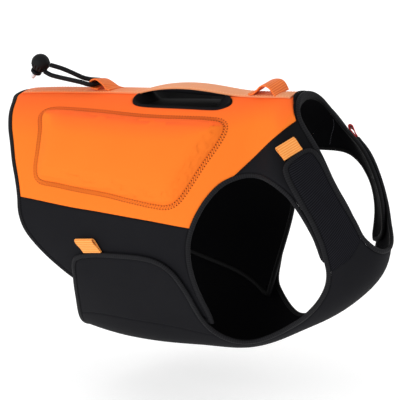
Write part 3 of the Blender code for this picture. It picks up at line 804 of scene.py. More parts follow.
SIDE_SEAM = ((.87, 77), (1.30, 77), (1.80, 77.3), (2.25, 78), (3.00, 81), (3.62, 83.6), (3.77, 84))
YOKE_SEAM = ((4.45, 65.6), (4.60, 61.2), (5.29, 52), (6.16, 43.1), (6.72, 38), (7.13, 36))
COLLAR_SEAM = ((6.10, 0), (6.16, 6), (6.40, 12), (6.69, 18.2), (6.90, 24.2), (7.04, 30.7), (7.13, 36))
COLLAR_END = np.array(((7.13, 36), (7.53, 36.8)))
for name, line in (("hem", HEM), ("armhole", ARMHOLE), ("neck", NECK)):
    print(f"{name}: {distances(trunk(*edge(line).T))[-1]:.0f} mm on each side")

# %% [markdown]
# One function makes every panel of one layer: it moves the edges in by their allowances, cuts the flat
# panel and lays it. The collar is folded over at the nape, which makes it thicker on the spine.

# %% A panel of neoprene
SIDES = (("right", False), ("left", True))
NAPE_RISE = 4.6
NAPE_END = 38.0
NAPE_REAR = 5


def nape_rise(station, angle):
    """How much thicker the collar is, from the spine to NAPE_END degrees from it."""
    away = np.clip(np.abs(angle) / NAPE_END, 0, 1)
    return np.where(np.asarray(station) > NAPE_REAR, NAPE_RISE * np.cos(away * math.pi / 2) ** 2, 0.0)


def panel(name, materials, node, *sides, left=False, inner=-NEOPRENE, rise=None, rests_on=()):
    """A panel with its edges rolled down to its seams. What it was cut from goes on inside the binding."""
    cut, insets = closed(*sides)
    outline = inside_allowances(cut, insets)
    roll = height_inside(outline, ROLLED_EDGE)
    top = inner + NEOPRENE

    def outer(station, angle):
        return top + roll(station, angle) + (rise(station, angle) if rise else 0)
    plan = flat_shape(outline, ring_distances(ROLLED_EDGE))
    slot = "orange_neoprene" if materials[0] is ORANGE_JERSEY else "black_neoprene"
    thing = lay(name, plan, materials, slot, inner, outer, node, left=left)


print("the collar is up to", NAPE_RISE, "mm thicker at the nape")

# %% [markdown]
# ## Back panel
#
# One piece of orange neoprene goes over the spine and down both sides. The long round-ended hole for the
# hand is cut out of the flat panel before it is laid. Each span of the hole's outline splits the faces
# near it, and then the faces inside the outline are deleted.

# %% Back panel
HAND_HOLE = ((2.14, 0), (2.08, 7), (2.12, 14.5), (2.28, 19.3), (2.72, 20.8), (3.38, 21.8), (3.66, 21.0),
             (3.82, 16.5), (3.73, 10), (3.54, 4.5), (3.48, 0))
HOLE_STEP = 3.0
HOLE_REACH = 14.0


def hand_hole():
    """The hole's outline. Its front end is blunt, and shorter under the webbing."""
    half = smooth_line(HAND_HOLE, HOLE_STEP, lambda a, b: trunk(*b) - trunk(*a))
    return closed((half, 0), (mirrored(half), 0))[0]


def is_inside(place, outline):
    """Whether the outline goes round the place, so that its turns as seen from there are a full turn."""
    away = outline - place
    turns = np.arctan2(away[:, 1], away[:, 0])
    steps = (np.diff(turns, append=turns[0]) + math.pi) % (2 * math.pi) - math.pi
    return abs(steps.sum()) > math.pi


def back_panel():
    right = ((edge(HEM, 0, HEM_SEAM), BOUND), (edge(SIDE_SEAM), SEWN),
             (edge(ARMHOLE, ARMHOLE_SIDE_SEAM, ARMHOLE_YOKE_SEAM), BOUND), (edge(YOKE_SEAM), SEWN),
             (edge(COLLAR_SEAM)[::-1], SEWN))
    left = tuple((mirrored(line), inset) for line, inset in reversed(right))
    cut, insets = closed(*right, *left)
    outline = inside_allowances(cut, insets)
    rim = hand_hole()
    plan = flat_shape(outline, ring_distances(ROLLED_EDGE))
    for a, b in zip(rim * PLAN, np.roll(rim, -1, axis=0) * PLAN):
        across = Vector((b[1] - a[1], a[0] - b[0], 0)).normalized()
        near = [f for f in plan.faces if (f.calc_center_median().xy - Vector(a)).length < HOLE_REACH]
        geometry = {item for f in near for item in (f, *f.edges, *f.verts)}
        bmesh.ops.bisect_plane(plan, geom=list(geometry), dist=SAME_PLACE, plane_co=(*a, 0),
                               plane_no=across)
    hole = [face for face in plan.faces if is_inside(np.array(face.calc_center_median().xy), rim * PLAN)]
    bmesh.ops.delete(plan, geom=hole, context="FACES")
    roll, roll_of_hole = height_inside(outline, ROLLED_EDGE), height_inside(rim, ROLLED_EDGE)
    thing = lay("back_cloth", plan, (ORANGE_JERSEY, LINING_JERSEY), "orange_neoprene", -NEOPRENE,
                lambda s, a: roll(s, a) + roll_of_hole(s, a), "back_panel")


back_panel()

# %% [markdown]
# ## Flanks, yokes and collar
#
# The black parts of the saddle. Each is made once for the right, and the left one is its mirror image.
# The inside of all of them is the black lining jersey.

# %% Flanks, yokes and collar
BLACK_PANEL = (BLACK_JERSEY, LINING_JERSEY)
for side_name, is_left in SIDES:
    panel("flank_cloth_" + side_name, BLACK_PANEL, "flank_panel_" + side_name,
          (edge(HEM, HEM_SEAM), BOUND), (edge(FLANK_FOOT), BOUND),
          (edge(ARMHOLE, 0, ARMHOLE_SIDE_SEAM), BOUND), (edge(SIDE_SEAM)[::-1], SEWN), left=is_left)
    panel("yoke_cloth_" + side_name, BLACK_PANEL, "shoulder_yoke_" + side_name,
          (edge(ARMHOLE, ARMHOLE_YOKE_SEAM), BOUND), (edge(YOKE_FOOT), BOUND),
          (edge(NECK, NECK_SEAM)[::-1], BOUND), (COLLAR_END[::-1], SEWN),
          (edge(YOKE_SEAM)[::-1], SEWN), left=is_left)
collar_half = ((edge(COLLAR_SEAM), SEWN), (COLLAR_END, SEWN), (edge(NECK, 0, NECK_SEAM)[::-1], BOUND))
panel("collar_cloth", BLACK_PANEL, "nape_collar", *collar_half,
      *((mirrored(line), inset) for line, inset in reversed(collar_half)), rise=nape_rise)

# %% [markdown]
# ## The bib and its wings
#
# The bib is the outer layer. It starts 1.3 mm above the saddle, and its wings overlap the flanks and the
# yokes, where hook and loop holds them. The left belly wing is closed about 15 mm further forward, and
# the left neck wing ends about 10 mm lower, as in the photograph, so the left has its own edges.

# %% Bib outlines
BIB_REAR = ((1.33, 180), (1.33, 170), (1.36, 159), (1.47, 142), (1.61, 125), (1.73, 111),
            (1.78, 104.5), (1.84, 100.5), (1.95, 98.2))
BIB_REAR_SEAM = 3
CHEST_SEAM = ((6.51, 132), (6.85, 134.5), (7.25, 137.2), (7.80, 137.8), (8.22, 137))
BIB_ARM = ((5.26, 155.5), (5.63, 151), (6.00, 145.5), (6.31, 139), (6.51, 132), (6.64, 124),
           (6.79, 113), (6.86, 100))
BIB_ARM_SEAM = -10
BIB_NECK = ((8.45, 107), (8.38, 124), (8.22, 137), (8.25, 148), (8.32, 163), (8.36, 172), (8.37, 180))
BIB_NECK_SEAM = -5
RIGHT = {
    "wing_top": ((1.95, 98.2), (2.20, 96.4), (2.53, 96), (2.84, 96.4), (3.06, 98), (3.22, 101),
                 (3.34, 106), (3.41, 115), (3.42, 124), (3.44, 132), (3.52, 140), (3.67, 146.5)),
    "belly_seam": ((1.47, 142), (1.80, 136.5), (2.10, 135.5), (2.55, 138), (3.00, 142.3),
                   (3.35, 145.3), (3.67, 146.5)),
    "arm": ((3.67, 146.5), (3.90, 152.5), (4.13, 156.5), (4.40, 158.5), (4.77, 158.5), *BIB_ARM,
            (6.77, 87.1), (6.63, 78.1), (6.51, 71.1), (6.46, 66.5), (6.55, 63.2), (6.74, 61.3)),
    "wing_end": ((6.74, 61.3), (7.02, 60.8), (7.34, 61.1), (7.65, 63.4)),
    "neck": ((7.65, 63.4), (7.90, 66.8), (8.17, 72.4), (8.38, 80.4), (8.45, 89), *BIB_NECK),
    "tab": ((7.30, 61.0), (6.56, 61.5)),
}
LEFT = {
    "wing_top": ((1.95, 98.2), (2.20, 96.4), (2.53, 96), (2.84, 96.2), (3.10, 97.4), (3.30, 100.4),
                 (3.43, 106), (3.50, 113), (3.54, 120), (3.58, 126), (3.66, 130.5), (3.84, 135.6)),
    "belly_seam": ((1.47, 142), (1.80, 136.5), (2.10, 134.6), (2.55, 134.6), (3.00, 135.6),
                   (3.45, 136), (3.84, 135.6)),
    "arm": ((3.84, 135.6), (4.08, 141.7), (4.37, 148.4), (4.62, 152.8), (4.93, 155.6), *BIB_ARM,
            (6.81, 91), (6.70, 83), (6.60, 76.5), (6.59, 72.6), (6.68, 70), (6.86, 68.4)),
    "wing_end": ((6.86, 68.4), (7.12, 67.8), (7.42, 68), (7.76, 70.2)),
    "neck": ((7.76, 70.2), (8.00, 73.4), (8.22, 77.4), (8.38, 82.8), (8.45, 90.5), *BIB_NECK),
    "tab": ((7.38, 67.9), (6.68, 68.4)),
}

print(f"edge of the armhole on the bib: {distances(trunk(*edge(RIGHT['arm']).T))[-1]:.0f} mm")

# %% [markdown]
# The chest and the belly are one piece of cloth from side to side. Each wing is sewn on at one edge, and
# lies on a panel of the saddle. The neck wings are faced with the loop cloth.

# %% Bib panels
WING_PANEL = (LOOP_CLOTH, LINING_JERSEY)


def seam_points(side):
    """At which points of the armhole and of the neck the chest's seam meets them."""
    return len(side["arm"]) + BIB_ARM_SEAM, len(side["neck"]) + BIB_NECK_SEAM


def bib_side(side):
    """The edges of one half of chest and belly, from the rear to the neck."""
    arm_seam, neck_seam = seam_points(side)
    return ((edge(BIB_REAR, 0, BIB_REAR_SEAM), BOUND), (edge(side["belly_seam"]), SEWN),
            (edge(side["arm"], 0, arm_seam), BOUND), (edge(CHEST_SEAM), SEWN),
            (edge(side["neck"], neck_seam), BOUND))


for side_name, side, is_left in (("right", RIGHT, False), ("left", LEFT, True)):
    arm_seam, neck_seam = seam_points(side)
    panel("belly_wing_cloth_" + side_name, BLACK_PANEL, "belly_wing_" + side_name,
          (edge(BIB_REAR, BIB_REAR_SEAM), BOUND), (edge(side["wing_top"]), BOUND),
          (edge(side["belly_seam"])[::-1], SEWN), left=is_left, inner=LAYER,
          rests_on=["flank_cloth_" + side_name])
    panel("neck_wing_cloth_" + side_name, WING_PANEL, "neck_wing_" + side_name,
          (edge(side["arm"], arm_seam), BOUND), (edge(side["wing_end"]), BOUND),
          (edge(side["neck"], 0, neck_seam), BOUND), (edge(CHEST_SEAM)[::-1], SEWN), left=is_left,
          inner=LAYER, rests_on=["yoke_cloth_" + side_name])
panel("belly_and_chest_cloth", BLACK_PANEL, "belly_chest_panel", *bib_side(RIGHT),
      *((mirrored(line, 180), inset) for line, inset in reversed(bib_side(LEFT))), inner=LAYER)

# %% [markdown]
# ## Binding
#
# A knitted tape is folded round every raw edge and sewn through. It rounds the edge off, and its seam
# draws a groove beside the panel. Its section is a ring of (inset, depth) places; each place runs
# all round the edge as a closed line, and bridge_loops skins one line to the next. The bib's tape lies
# on the saddle, so its underside goes no lower than just under the bib.

# %% Binding tape
TAPE_POINT = 1.1
TAPE_FOLD = -1.6
TAPE_SHARP = 80
TAPE_UNDER_BIB = 0.25
#   inset  depth, in millimetres, for a wall whose face is at depth 0. The places are TAPE_POINT apart,
#   and those above TAPE_FOLD are on the outside.
TAPE_SECTION = ((5.0, -0.7), (4.7, 0.05), (4.0, 0.5), (2.9, 0.8), (1.8, 0.75), (0.8, 0.25), (0.15, -0.6),
                (0.0, -1.5), (0.15, -2.4), (0.8, -3.2), (1.8, -3.6), (3.2, -3.6), (4.4, -3.35), (5.0, -2.9))


def binding(name, node, loop, face, rise=None, lowest=-math.inf):
    """Tape round a closed edge of a wall whose outer face is at that depth."""
    tape = bmesh.new()
    run = tape.verts.layers.float.new("run")
    turn = tape.verts.layers.float.new("turn")
    lifted = rise(loop[:, 0], loop[:, 1]) if rise else np.zeros(len(loop))
    along = distances(trunk(*np.vstack((loop, loop[:1])).T))
    rings = []
    for number, (inset, depth) in enumerate(TAPE_SECTION):
        line = shrink(loop, inset) if inset else loop
        height = np.maximum(face + depth, lowest) + (lifted if depth > TAPE_FOLD else 0)
        ring = [tape.verts.new(place) for place in on_cloth(line[:, 0], line[:, 1], height)]
        for vert, distance in zip(ring, along):
            vert[run], vert[turn] = distance, number * TAPE_POINT
        rings.append([tape.edges.new((ring[i - 1], ring[i])) for i in range(len(ring))])
    for first, second in zip(rings, rings[1:] + rings[:1]):
        bmesh.ops.bridge_loops(tape, edges=first + second)
    cloth = tape.loops.layers.uv.new("cloth")
    for tape_face in tape.faces:
        for corner in tape_face.loops:
            corner[cloth].uv = corner.vert[run] * MM, corner.vert[turn] * MM
    print(f"{name}: {along[-1]:.0f} mm of tape, {len(tape.faces)} faces")
    finish_piece(name, closed_mesh(name, tape, TAPE_SHARP), (TAPE,), "binding", node)


def whole_edge(right, left, about):
    """The right half's edges and then the left half's, as one closed line."""
    other = [mirrored(line, about) for line in reversed(left)]
    return closed(*((line, 0) for line in [*right, *other]))[0]


right_edge = [edge(HEM), edge(FLANK_FOOT), edge(ARMHOLE), edge(YOKE_FOOT), edge(NECK)[::-1]]
saddle_loop = whole_edge(right_edge, right_edge, 0)
binding("saddle_tape", "binding_saddle", saddle_loop, 0.0, nape_rise)
right_edge, left_edge = [
    [edge(BIB_REAR), *(edge(side[part]) for part in ("wing_top", "arm", "wing_end", "neck"))]
    for side in (RIGHT, LEFT)]
bib_loop = whole_edge(right_edge, left_edge, 180)
binding("bib_tape", "binding_bib", bib_loop, LAYER + NEOPRENE, lowest=LAYER - TAPE_UNDER_BIB)

# %% [markdown]
# ## Float pads
#
# A slab of closed-cell foam lies under the orange cloth on each side. The cloth is pulled down round it
# by two rows of stitches, so it rises steeply at first and is nearly flat in the middle. Its height
# comes from the distance inside the outline, and is then evened out as taut cloth does.

# %% Float pads
FLOAT_OUTLINE = ((.90, 30), (1.02, 25.6), (1.50, 25.8), (1.96, 27), (2.45, 28.6), (2.91, 29.6),
                 (3.52, 30), (3.85, 31.6), (3.98, 36), (3.93, 44), (3.74, 55), (3.57, 64.5),
                 (3.42, 71), (3.25, 73.6), (2.98, 73), (2.60, 70.8), (2.22, 68.6), (1.58, 67),
                 (1.24, 66.4), (1.15, 61), (1.11, 52), (1.02, 40))
FLOAT_HEIGHT = 12.0
FLOAT_RUN = 32.0
FLOAT_CURVE = 2.6
FLOAT_EDGE = 0.25
FLOAT_UNDER = 0.05
FLOAT_RINGS = (0.8, 2.0, 4.0, 7.0, 11.0)
FLOAT_EVENED = 12
FLOAT_SAMPLES = 65


def float_outline():
    """The outline as a closed line, which the first three points close smoothly."""
    ring = FLOAT_OUTLINE + FLOAT_OUTLINE[:3]
    return edge(ring, 1, len(FLOAT_OUTLINE) + 1)[:-1]


def float_pad(side_name, is_left):
    outline = float_outline()
    inside = np.linspace(0, FLOAT_RUN, FLOAT_SAMPLES)
    rise = FLOAT_EDGE + FLOAT_HEIGHT * (1 - (1 - inside / FLOAT_RUN) ** FLOAT_CURVE)
    outer = height_inside(outline, np.column_stack((inside, rise)))
    plan = flat_shape(outline, FLOAT_RINGS)
    thing = lay("float_pad_" + side_name, plan, (ORANGE_JERSEY,), "orange_neoprene", FLOAT_UNDER, outer,
                "float_panel_" + side_name, left=is_left, soften=FLOAT_EVENED)
    print(f"{thing.name}: rises up to {FLOAT_HEIGHT} mm, {FLOAT_RUN} mm from its edge")


for side_name, is_left in SIDES:
    float_pad(side_name, is_left)

# %% [markdown]
# ## Stitches
#
# A stitch is a small capsule: an icosphere stretched along the thread. One function sets them along a
# line on the cloth at an even pitch, and another sets them across, from one row to the other, which
# gives the ladder of a cover stitch.

# %% Stitch rows


def measured(line, loop):
    """The line, closed if it is a loop, and how far along the trunk each of its places is."""
    line = np.vstack((line, line[:1])) if loop else np.asarray(line, float)
    return line, distances(trunk(*line.T))


def spaced_on_cloth(line, count, loop=True):
    """count places spread evenly along a line on the trunk, as (station, angle)."""
    line, along = measured(line, loop)
    wanted = np.linspace(0, along[-1], count + 1)[:count if loop else None]
    return np.column_stack([np.interp(wanted, along, line[:, axis]) for axis in (0, 1)])


def length_on_cloth(line, loop=True):
    """The line's length on the trunk, in millimetres."""
    return measured(line, loop)[1][-1]


print(f"round a pad: {length_on_cloth(float_outline()):.0f} mm")

# %% [markdown]
# The capsule's matrix holds its half length, half width and half height as columns. A row is sewn with
# share of each pitch as thread and the rest as the hole that it goes down.

# %% One stitch and a row of them
STITCH_FLATNESS = 0.7


def add_stitch(sewing, start, end, normal, thick):
    """One stitch from start to end, in metres, thick across and flatter upwards."""
    run = end - start
    along = run / np.linalg.norm(run)
    across = np.cross(normal, along)
    size = np.linalg.norm(run) / 2
    place = Matrix.Identity(4)
    columns = (along * size, across * thick / 2, normal * thick * STITCH_FLATNESS / 2, (start + end) / 2)
    for column, vector in enumerate(columns):
        for row in range(3):
            place[row][column] = vector[row]
    bmesh.ops.create_icosphere(sewing, subdivisions=1, radius=1.0, matrix=place)


def sew_row(sewing, line, out, pitch, thick, loop=True, left=False, share=0.72):
    """A row of stitches along a line, at a depth in millimetres or a function that gives it."""
    count = max(2, round(length_on_cloth(line, loop) / pitch))
    places = spaced_on_cloth(line, count, loop)
    depth = out(*places.T) if callable(out) else out
    points = on_cloth(*places.T, depth) * side_signs(left)
    normals = outward(*places.T) * side_signs(left)
    for i in range(count):
        start, end = points[i], points[(i + 1) % len(points)]
        rest = (end - start) * (1 - share) / 2
        add_stitch(sewing, start + rest, end - rest, normals[i], thick * MM)


def sewing_piece(name, sewing, thread, slot):
    thing = finish_piece(name, smooth_mesh(name, sewing), (thread,), slot)
    print(f"{name}: {len(thing.data.polygons)} faces")


# %% [markdown]
# Round each pad runs a cover stitch: two rows 3.8 mm apart, with the thread going slantwise between
# them.

# %% Cover stitch round the pads
# In millimetres: from stitch to stitch, outside the pad, above the cloth, and across the thread.
PAD_STITCH = 3.3
COVER_INSETS = (-0.8, -4.6)
COVER_HEIGHT = 0.25
COVER_THICK = 1.2
LADDER_HEIGHT = 0.1
LADDER_THICK = 0.4
for side_name, is_left in SIDES:
    cover = bmesh.new()
    rows = [shrink(float_outline(), inset) for inset in COVER_INSETS]
    stitches = round(length_on_cloth(rows[1]) / PAD_STITCH)
    for row in rows:
        sew_row(cover, row, COVER_HEIGHT, length_on_cloth(row) / stitches, COVER_THICK, left=is_left,
                share=0.5)
    inner_row, outer_row = (spaced_on_cloth(row, stitches) for row in rows)
    starts = on_cloth(*inner_row.T, LADDER_HEIGHT) * side_signs(is_left)
    ends = on_cloth(*np.roll(outer_row, -1, axis=0).T, LADDER_HEIGHT) * side_signs(is_left)
    normals = outward(*inner_row.T) * side_signs(is_left)
    for start, end, normal in zip(starts, ends, normals):
        add_stitch(cover, start, end, normal, LADDER_THICK * MM)
    sewing_piece("cover_stitch_" + side_name, cover, RED_THREAD, "orange_neoprene")
    print("pad on the", side_name, "has", stitches, "stitches in each row")

# %% [markdown]
# The tape is sewn down in its groove with black thread, all along both bound edges.

# %% Stitches in the tape
TAPE_STITCH = 3.2
TAPE_STITCH_THICK = 0.6
GROOVE = 4.15
GROOVE_HEIGHT = 0.42
tape_sewing = bmesh.new()
sew_row(tape_sewing, shrink(saddle_loop, GROOVE), lambda s, a: GROOVE_HEIGHT + nape_rise(s, a),
        TAPE_STITCH, TAPE_STITCH_THICK)
sew_row(tape_sewing, shrink(bib_loop, GROOVE), LAYER + NEOPRENE + GROOVE_HEIGHT, TAPE_STITCH,
        TAPE_STITCH_THICK)
sewing_piece("tape_stitches", tape_sewing, BLACK_THREAD, "binding")

# %% [markdown]
# Inside each yoke, where the neck shows its lining, a fine grey seam holds the loop cloth underneath.

# %% Seam inside the yokes
YOKE_INSIDE_SEAM = ((6.10, 47.5), (5.85, 53.5), (5.62, 58.5), (5.45, 64.0))
YOKE_SEAM_DEPTH = -NEOPRENE - 0.1
YOKE_STITCH = 2.0
YOKE_STITCH_THICK = 0.7
inner_sewing = bmesh.new()
for side_name, is_left in SIDES:
    sew_row(inner_sewing, edge(YOKE_INSIDE_SEAM), YOKE_SEAM_DEPTH, YOKE_STITCH, YOKE_STITCH_THICK,
            loop=False, left=is_left, share=0.9)
sewing_piece("yoke_inside_stitches", inner_sewing, GREY_THREAD, "black_neoprene")

# %% [markdown]
# ## Hand hold
#
# Under the stretch of webbing that makes the handle, a black stretch cloth is let into the back. A soft
# roll of it edges the hole, and then it dips down to make room for the fingers. Its section is
# (distance inside the hole's edge, height) places. Its inner face is flat under the roll.

# %% Hand insert
INSERT_SECTION = ((0.0, -0.4), (0.5, 0.7), (1.3, 1.3), (2.2, 1.2), (3.2, 0.3), (4.5, -1.6), (7.5, -5.2),
                  (12.0, -9.4), (20.0, -10.0))
INSERT_CLEAR = 0.15
INSERT_THICK = 2.6
INSERT_TOP = -0.5
insert_outline = shrink(hand_hole(), INSERT_CLEAR)
insert_floor = height_inside(insert_outline, INSERT_SECTION)
insert = lay("hand_insert_cloth", flat_shape(insert_outline, ring_distances(INSERT_SECTION[:-1])),
             BLACK_PANEL, "black_neoprene",
             lambda s, a: np.minimum(insert_floor(s, a), INSERT_TOP) - INSERT_THICK, insert_floor,
             "handle_insert")

# %% [markdown]
# ## Webbing and grip
#
# One 25 mm nylon webbing runs along the spine, from the hem to the nape, and stands up over the hand
# hold. It is thinner at its selvedges, with a shallow groove beside them where it is sewn.

# %% Webbing
WEBBING = 25.0
WEBBING_THICK = 1.6
WEBBING_FROM = 0.22
WEBBING_TO = 6.02
WEBBING_EDGE = ((0.0, -0.45), (0.7, -0.05), (1.6, 0.0), (2.2, -0.12), (3.0, 0.0))
HANDLE_FROM = 2.10
HANDLE_TO = 3.90
HANDLE_RISE = 5.8
HANDLE_EARLY = 0.60
HANDLE_POWER = 1.6


def bump(station, first, last, power, early=1.0):
    """0 at both ends and 1 near the middle, or sooner where early is less than 1."""
    share = np.clip((np.asarray(station) - first) / (last - first), 0, 1)
    return np.sin(math.pi * share**early) ** power


def handle_rise(station):
    return HANDLE_RISE * bump(station, HANDLE_FROM, HANDLE_TO, HANDLE_POWER, HANDLE_EARLY)


def webbing_face(station, angle):
    """The height of the webbing's upper face, which is the same at every angle."""
    return GAP + WEBBING_THICK + handle_rise(station)


def degrees_across(station, millimetres):
    """How many degrees round the spine that width takes."""
    return millimetres / np.linalg.norm(tangents(station, 0 * station)[1], axis=-1)


def spine_band(first, last, half_width, per_station=16):
    """A flat strip along the spine, with its width measured round the trunk."""
    stations = np.linspace(first, last, round((last - first) * per_station) + 1)
    right = np.column_stack((stations, degrees_across(stations, half_width)))
    return np.vstack((right, mirrored(right)))


strip = spine_band(WEBBING_FROM, WEBBING_TO, WEBBING / 2)
selvedge = height_inside(strip, WEBBING_EDGE)
webbing = lay("spine_webbing_cloth", flat_shape(strip, ring_distances(WEBBING_EDGE)), (SPINE_WEBBING,),
              "spine_webbing", lambda s, a: GAP + handle_rise(s),
              lambda s, a: webbing_face(s, a) + selvedge(s, a), "spine_webbing")

# %% [markdown]
# A padded sleeve of black cloth hangs under the part of the webbing that is gripped. Across, it is
# rounded like a flattened circle, which a power higher than 2 gives, and it thins at both ends.

# %% Grip
GRIP_FROM = 2.30
GRIP_TO = 3.52
GRIP_THICK = 7.6
GRIP_END = 0.12
GRIP_PAST_END = 0.05
GRIP_ROUND = 3.2
GRIP_SIDE = 0.02
GRIP_POWER = 0.8
GRIP_RINGS = (0.6, 1.5, 3.0)
GRIP_FOOT = 0.1
GRIP_TOP = 0.2


def grip_shape(station, angle):
    """How far the padded sleeve hangs down."""
    across = np.clip(np.abs(angle) / degrees_across(station, WEBBING / 2), 0, 1)
    full = bump(station, GRIP_FROM - GRIP_PAST_END, GRIP_TO + GRIP_PAST_END, GRIP_POWER)
    thick = GRIP_THICK * (GRIP_END + (1 - GRIP_END) * full)
    return thick * np.sqrt(np.clip(1 - across**GRIP_ROUND, GRIP_SIDE, 1))


strip = spine_band(GRIP_FROM, GRIP_TO, WEBBING / 2)
grip = lay("grip_sleeve", flat_shape(strip, GRIP_RINGS), (BLACK_JERSEY,), "black_neoprene",
           lambda s, a: handle_rise(s) + GRIP_FOOT - grip_shape(s, a),
           lambda s, a: handle_rise(s) + GRIP_TOP, "handle_grip")
print(f"grip: {distances(trunk(np.linspace(GRIP_FROM, GRIP_TO, 9), 0.0))[-1]:.0f} mm long")

# %% [markdown]
# The webbing is sewn down along both sides, and across at its rear end, at the loops and at both ends of
# the handle.

# %% Stitches in the webbing
WEBBING_STITCH = 3.6
WEBBING_THREAD = 0.9
SELVEDGE = 1.6
ROW_END = 0.04
BAR_TACKS = (0.34, 1.02, 1.20, 2.02, 3.94, 4.10, 5.45)
BAR_STITCH = 2.4
BAR_THREAD = 0.8
BAR_CLEAR = 3.0
BAR_POINTS = 9
webbing_sewing = bmesh.new()
inner_strip = spine_band(WEBBING_FROM + ROW_END, WEBBING_TO - ROW_END, WEBBING / 2 - SELVEDGE)
for line in np.split(inner_strip, 2):
    sew_row(webbing_sewing, line, webbing_face, WEBBING_STITCH, WEBBING_THREAD, loop=False,
            share=0.55)
for station in BAR_TACKS:
    reach = degrees_across(station, WEBBING / 2 - BAR_CLEAR)
    across = np.column_stack((np.full(BAR_POINTS, station), np.linspace(-reach, reach, BAR_POINTS)))
    sew_row(webbing_sewing, across, webbing_face, BAR_STITCH, BAR_THREAD, loop=False)
sewing_piece("webbing_stitches", webbing_sewing, PALE_THREAD, "spine_webbing")

# %% [markdown]
# ## Loops and pull tabs
#
# A loop is a short strip of webbing, bent in a way that is known along both of its long edges.
# create_grid gives the strip, its points are moved to their share of the way from one edge to the
# other, and Solidify and Bevel give it the webbing's thickness and soft edges.

# %% A strip of webbing
STRAP_STEP = 1.6
STRAP_SOFT = 0.35


def strap(name, node, near, far, thickness, material, step=STRAP_STEP):
    """A strip of webbing between two edges that match point for point, in millimetres."""
    edges = np.column_stack((near, far)).astype(float)
    edges = smooth_line(edges, step, lambda a, b: (b - a)[:3])
    near, far = edges[:, :3], edges[:, 3:]
    width = np.linalg.norm(far[0] - near[0])
    strip = bmesh.new()
    strip.loops.layers.uv.new("cloth")
    bmesh.ops.create_grid(strip, x_segments=len(edges) - 1, y_segments=8, size=0.5)
    cloth = strip.loops.layers.uv["cloth"]
    run = distances((near + far) / 2)
    for corner in (corner for face in strip.faces for corner in face.loops):
        number = round((corner.vert.co.x + 0.5) * (len(edges) - 1))
        corner[cloth].uv = run[number] * MM, corner.vert.co.y * width * MM
    for vert in strip.verts:
        number, share = round((vert.co.x + 0.5) * (len(edges) - 1)), vert.co.y + 0.5
        vert.co = in_frame(near[number] * (1 - share) + far[number] * share)
    thing = finish_piece(name, smooth_mesh(name, strip), (material,), "loop_webbing", node)
    wall = thing.modifiers.new("thickness", "SOLIDIFY")
    wall.thickness = thickness * MM
    wall.offset = 0.0
    wall.use_even_offset = True
    soft = thing.modifiers.new("soft edges", "BEVEL")
    soft.width = STRAP_SOFT * MM
    soft.segments = 2
    soft.limit_method = "ANGLE"
    soft.angle_limit = math.radians(SHARP)
    print(f"{name}: a strip {width:.0f} mm wide and {run[-1]:.0f} mm long")


# %% [markdown]
# The front loop takes a lead, and the rear one holds the cord. The cord pulls the rear loop askew, and
# the lead loop leans a little, so each has a table with both of its edges.

# %% Loops
# Each row has a place on the loop's right edge and the matching one on its left edge, in millimetres.
#   right_x  right_z  left_x  left_z
LEAD_LOOP = ((282.5, 38.8, 282.5, 39.4), (287.0, 38.6, 286.0, 40.6), (292.0, 42.8, 290.0, 45.0),
             (296.4, 47.7, 295.0, 49.4), (300.8, 49.9, 301.0, 51.8), (306.4, 48.9, 307.4, 52.3),
             (310.1, 46.1, 311.4, 50.5), (312.8, 42.9, 314.4, 46.8), (315.4, 40.6, 316.6, 42.6))
REAR_LOOP = ((93.0, 17.2, 93.0, 17.2), (87.6, 17.4, 87.6, 17.4), (83.6, 19.2, 83.6, 18.9),
             (82.2, 22.6, 82.2, 21.2), (84.5, 26.0, 84.5, 23.4), (88.3, 27.8, 88.8, 24.7),
             (91.9, 27.6, 94.0, 24.7), (95.5, 25.7, 99.2, 23.1), (99.4, 23.4, 104.0, 20.8),
             (101.5, 21.0, 108.0, 18.9), (103.0, 18.9, 111.0, 18.4), (108.0, 18.4, 114.0, 18.4))
REAR_LOOP_WIDTH = 18.0
for name, rows, width in (("lead_loop", LEAD_LOOP, WEBBING), ("rear_loop", REAR_LOOP, REAR_LOOP_WIDTH)):
    right = [(x, -width / 2, z) for x, z, _, _ in rows]
    left = [(x, width / 2, z) for _, _, x, z in rows]
    strap(name + "_webbing", name, right, left, WEBBING_THICK, LOOP_WEBBING)

# %% [markdown]
# A tab of webbing, folded double round its end, is sewn into the edge of each wing, to pull it open. Its
# profile is (out from the edge, up from the middle of the cloth) places, and it leans to one side. The
# tab on the left neck wing is the same light orange webbing, painted red as painted shade.

# %% Pull tabs
TAB_WIDTH = 23.0
TAB_THICK = 1.2
TAB_STEP = 1.2
TAB_PROFILE = ((0.3, -0.8), (5.0, -0.9), (10.0, -1.4), (13.6, -1.5), (15.6, -0.2), (15.4, 1.6),
               (13.2, 2.6), (10.0, 2.2), (5.0, 1.0), (0.3, 0.8))
BELLY_TAB = ((2.28, 96.2), (2.02, 97.3))
BELLY_TAB_LEAN = 0.42
NECK_TAB_LEAN = 0.05


def pull_tab(name, node, start, end, lean, material, is_left):
    """A tab on the edge that runs from start to end, which are places on the trunk."""
    middle = LAYER + NEOPRENE / 2
    a, b = [on_cloth(*place, middle) / MM + ORIGIN for place in (start, end)]
    across = (b - a) / np.linalg.norm(b - a)
    centre = (np.array(start) + np.array(end)) / 2
    out = outward(*centre)
    out = out - across * np.dot(out, across)
    out /= np.linalg.norm(out)
    up = np.cross(across, out)
    edges = [[((a + b) / 2 + across * half + (up + across * lean) * u + out * v) * side_signs(is_left)
              for u, v in TAB_PROFILE] for half in (-TAB_WIDTH / 2, TAB_WIDTH / 2)]
    strap(name, node, *edges, TAB_THICK, material, TAB_STEP)


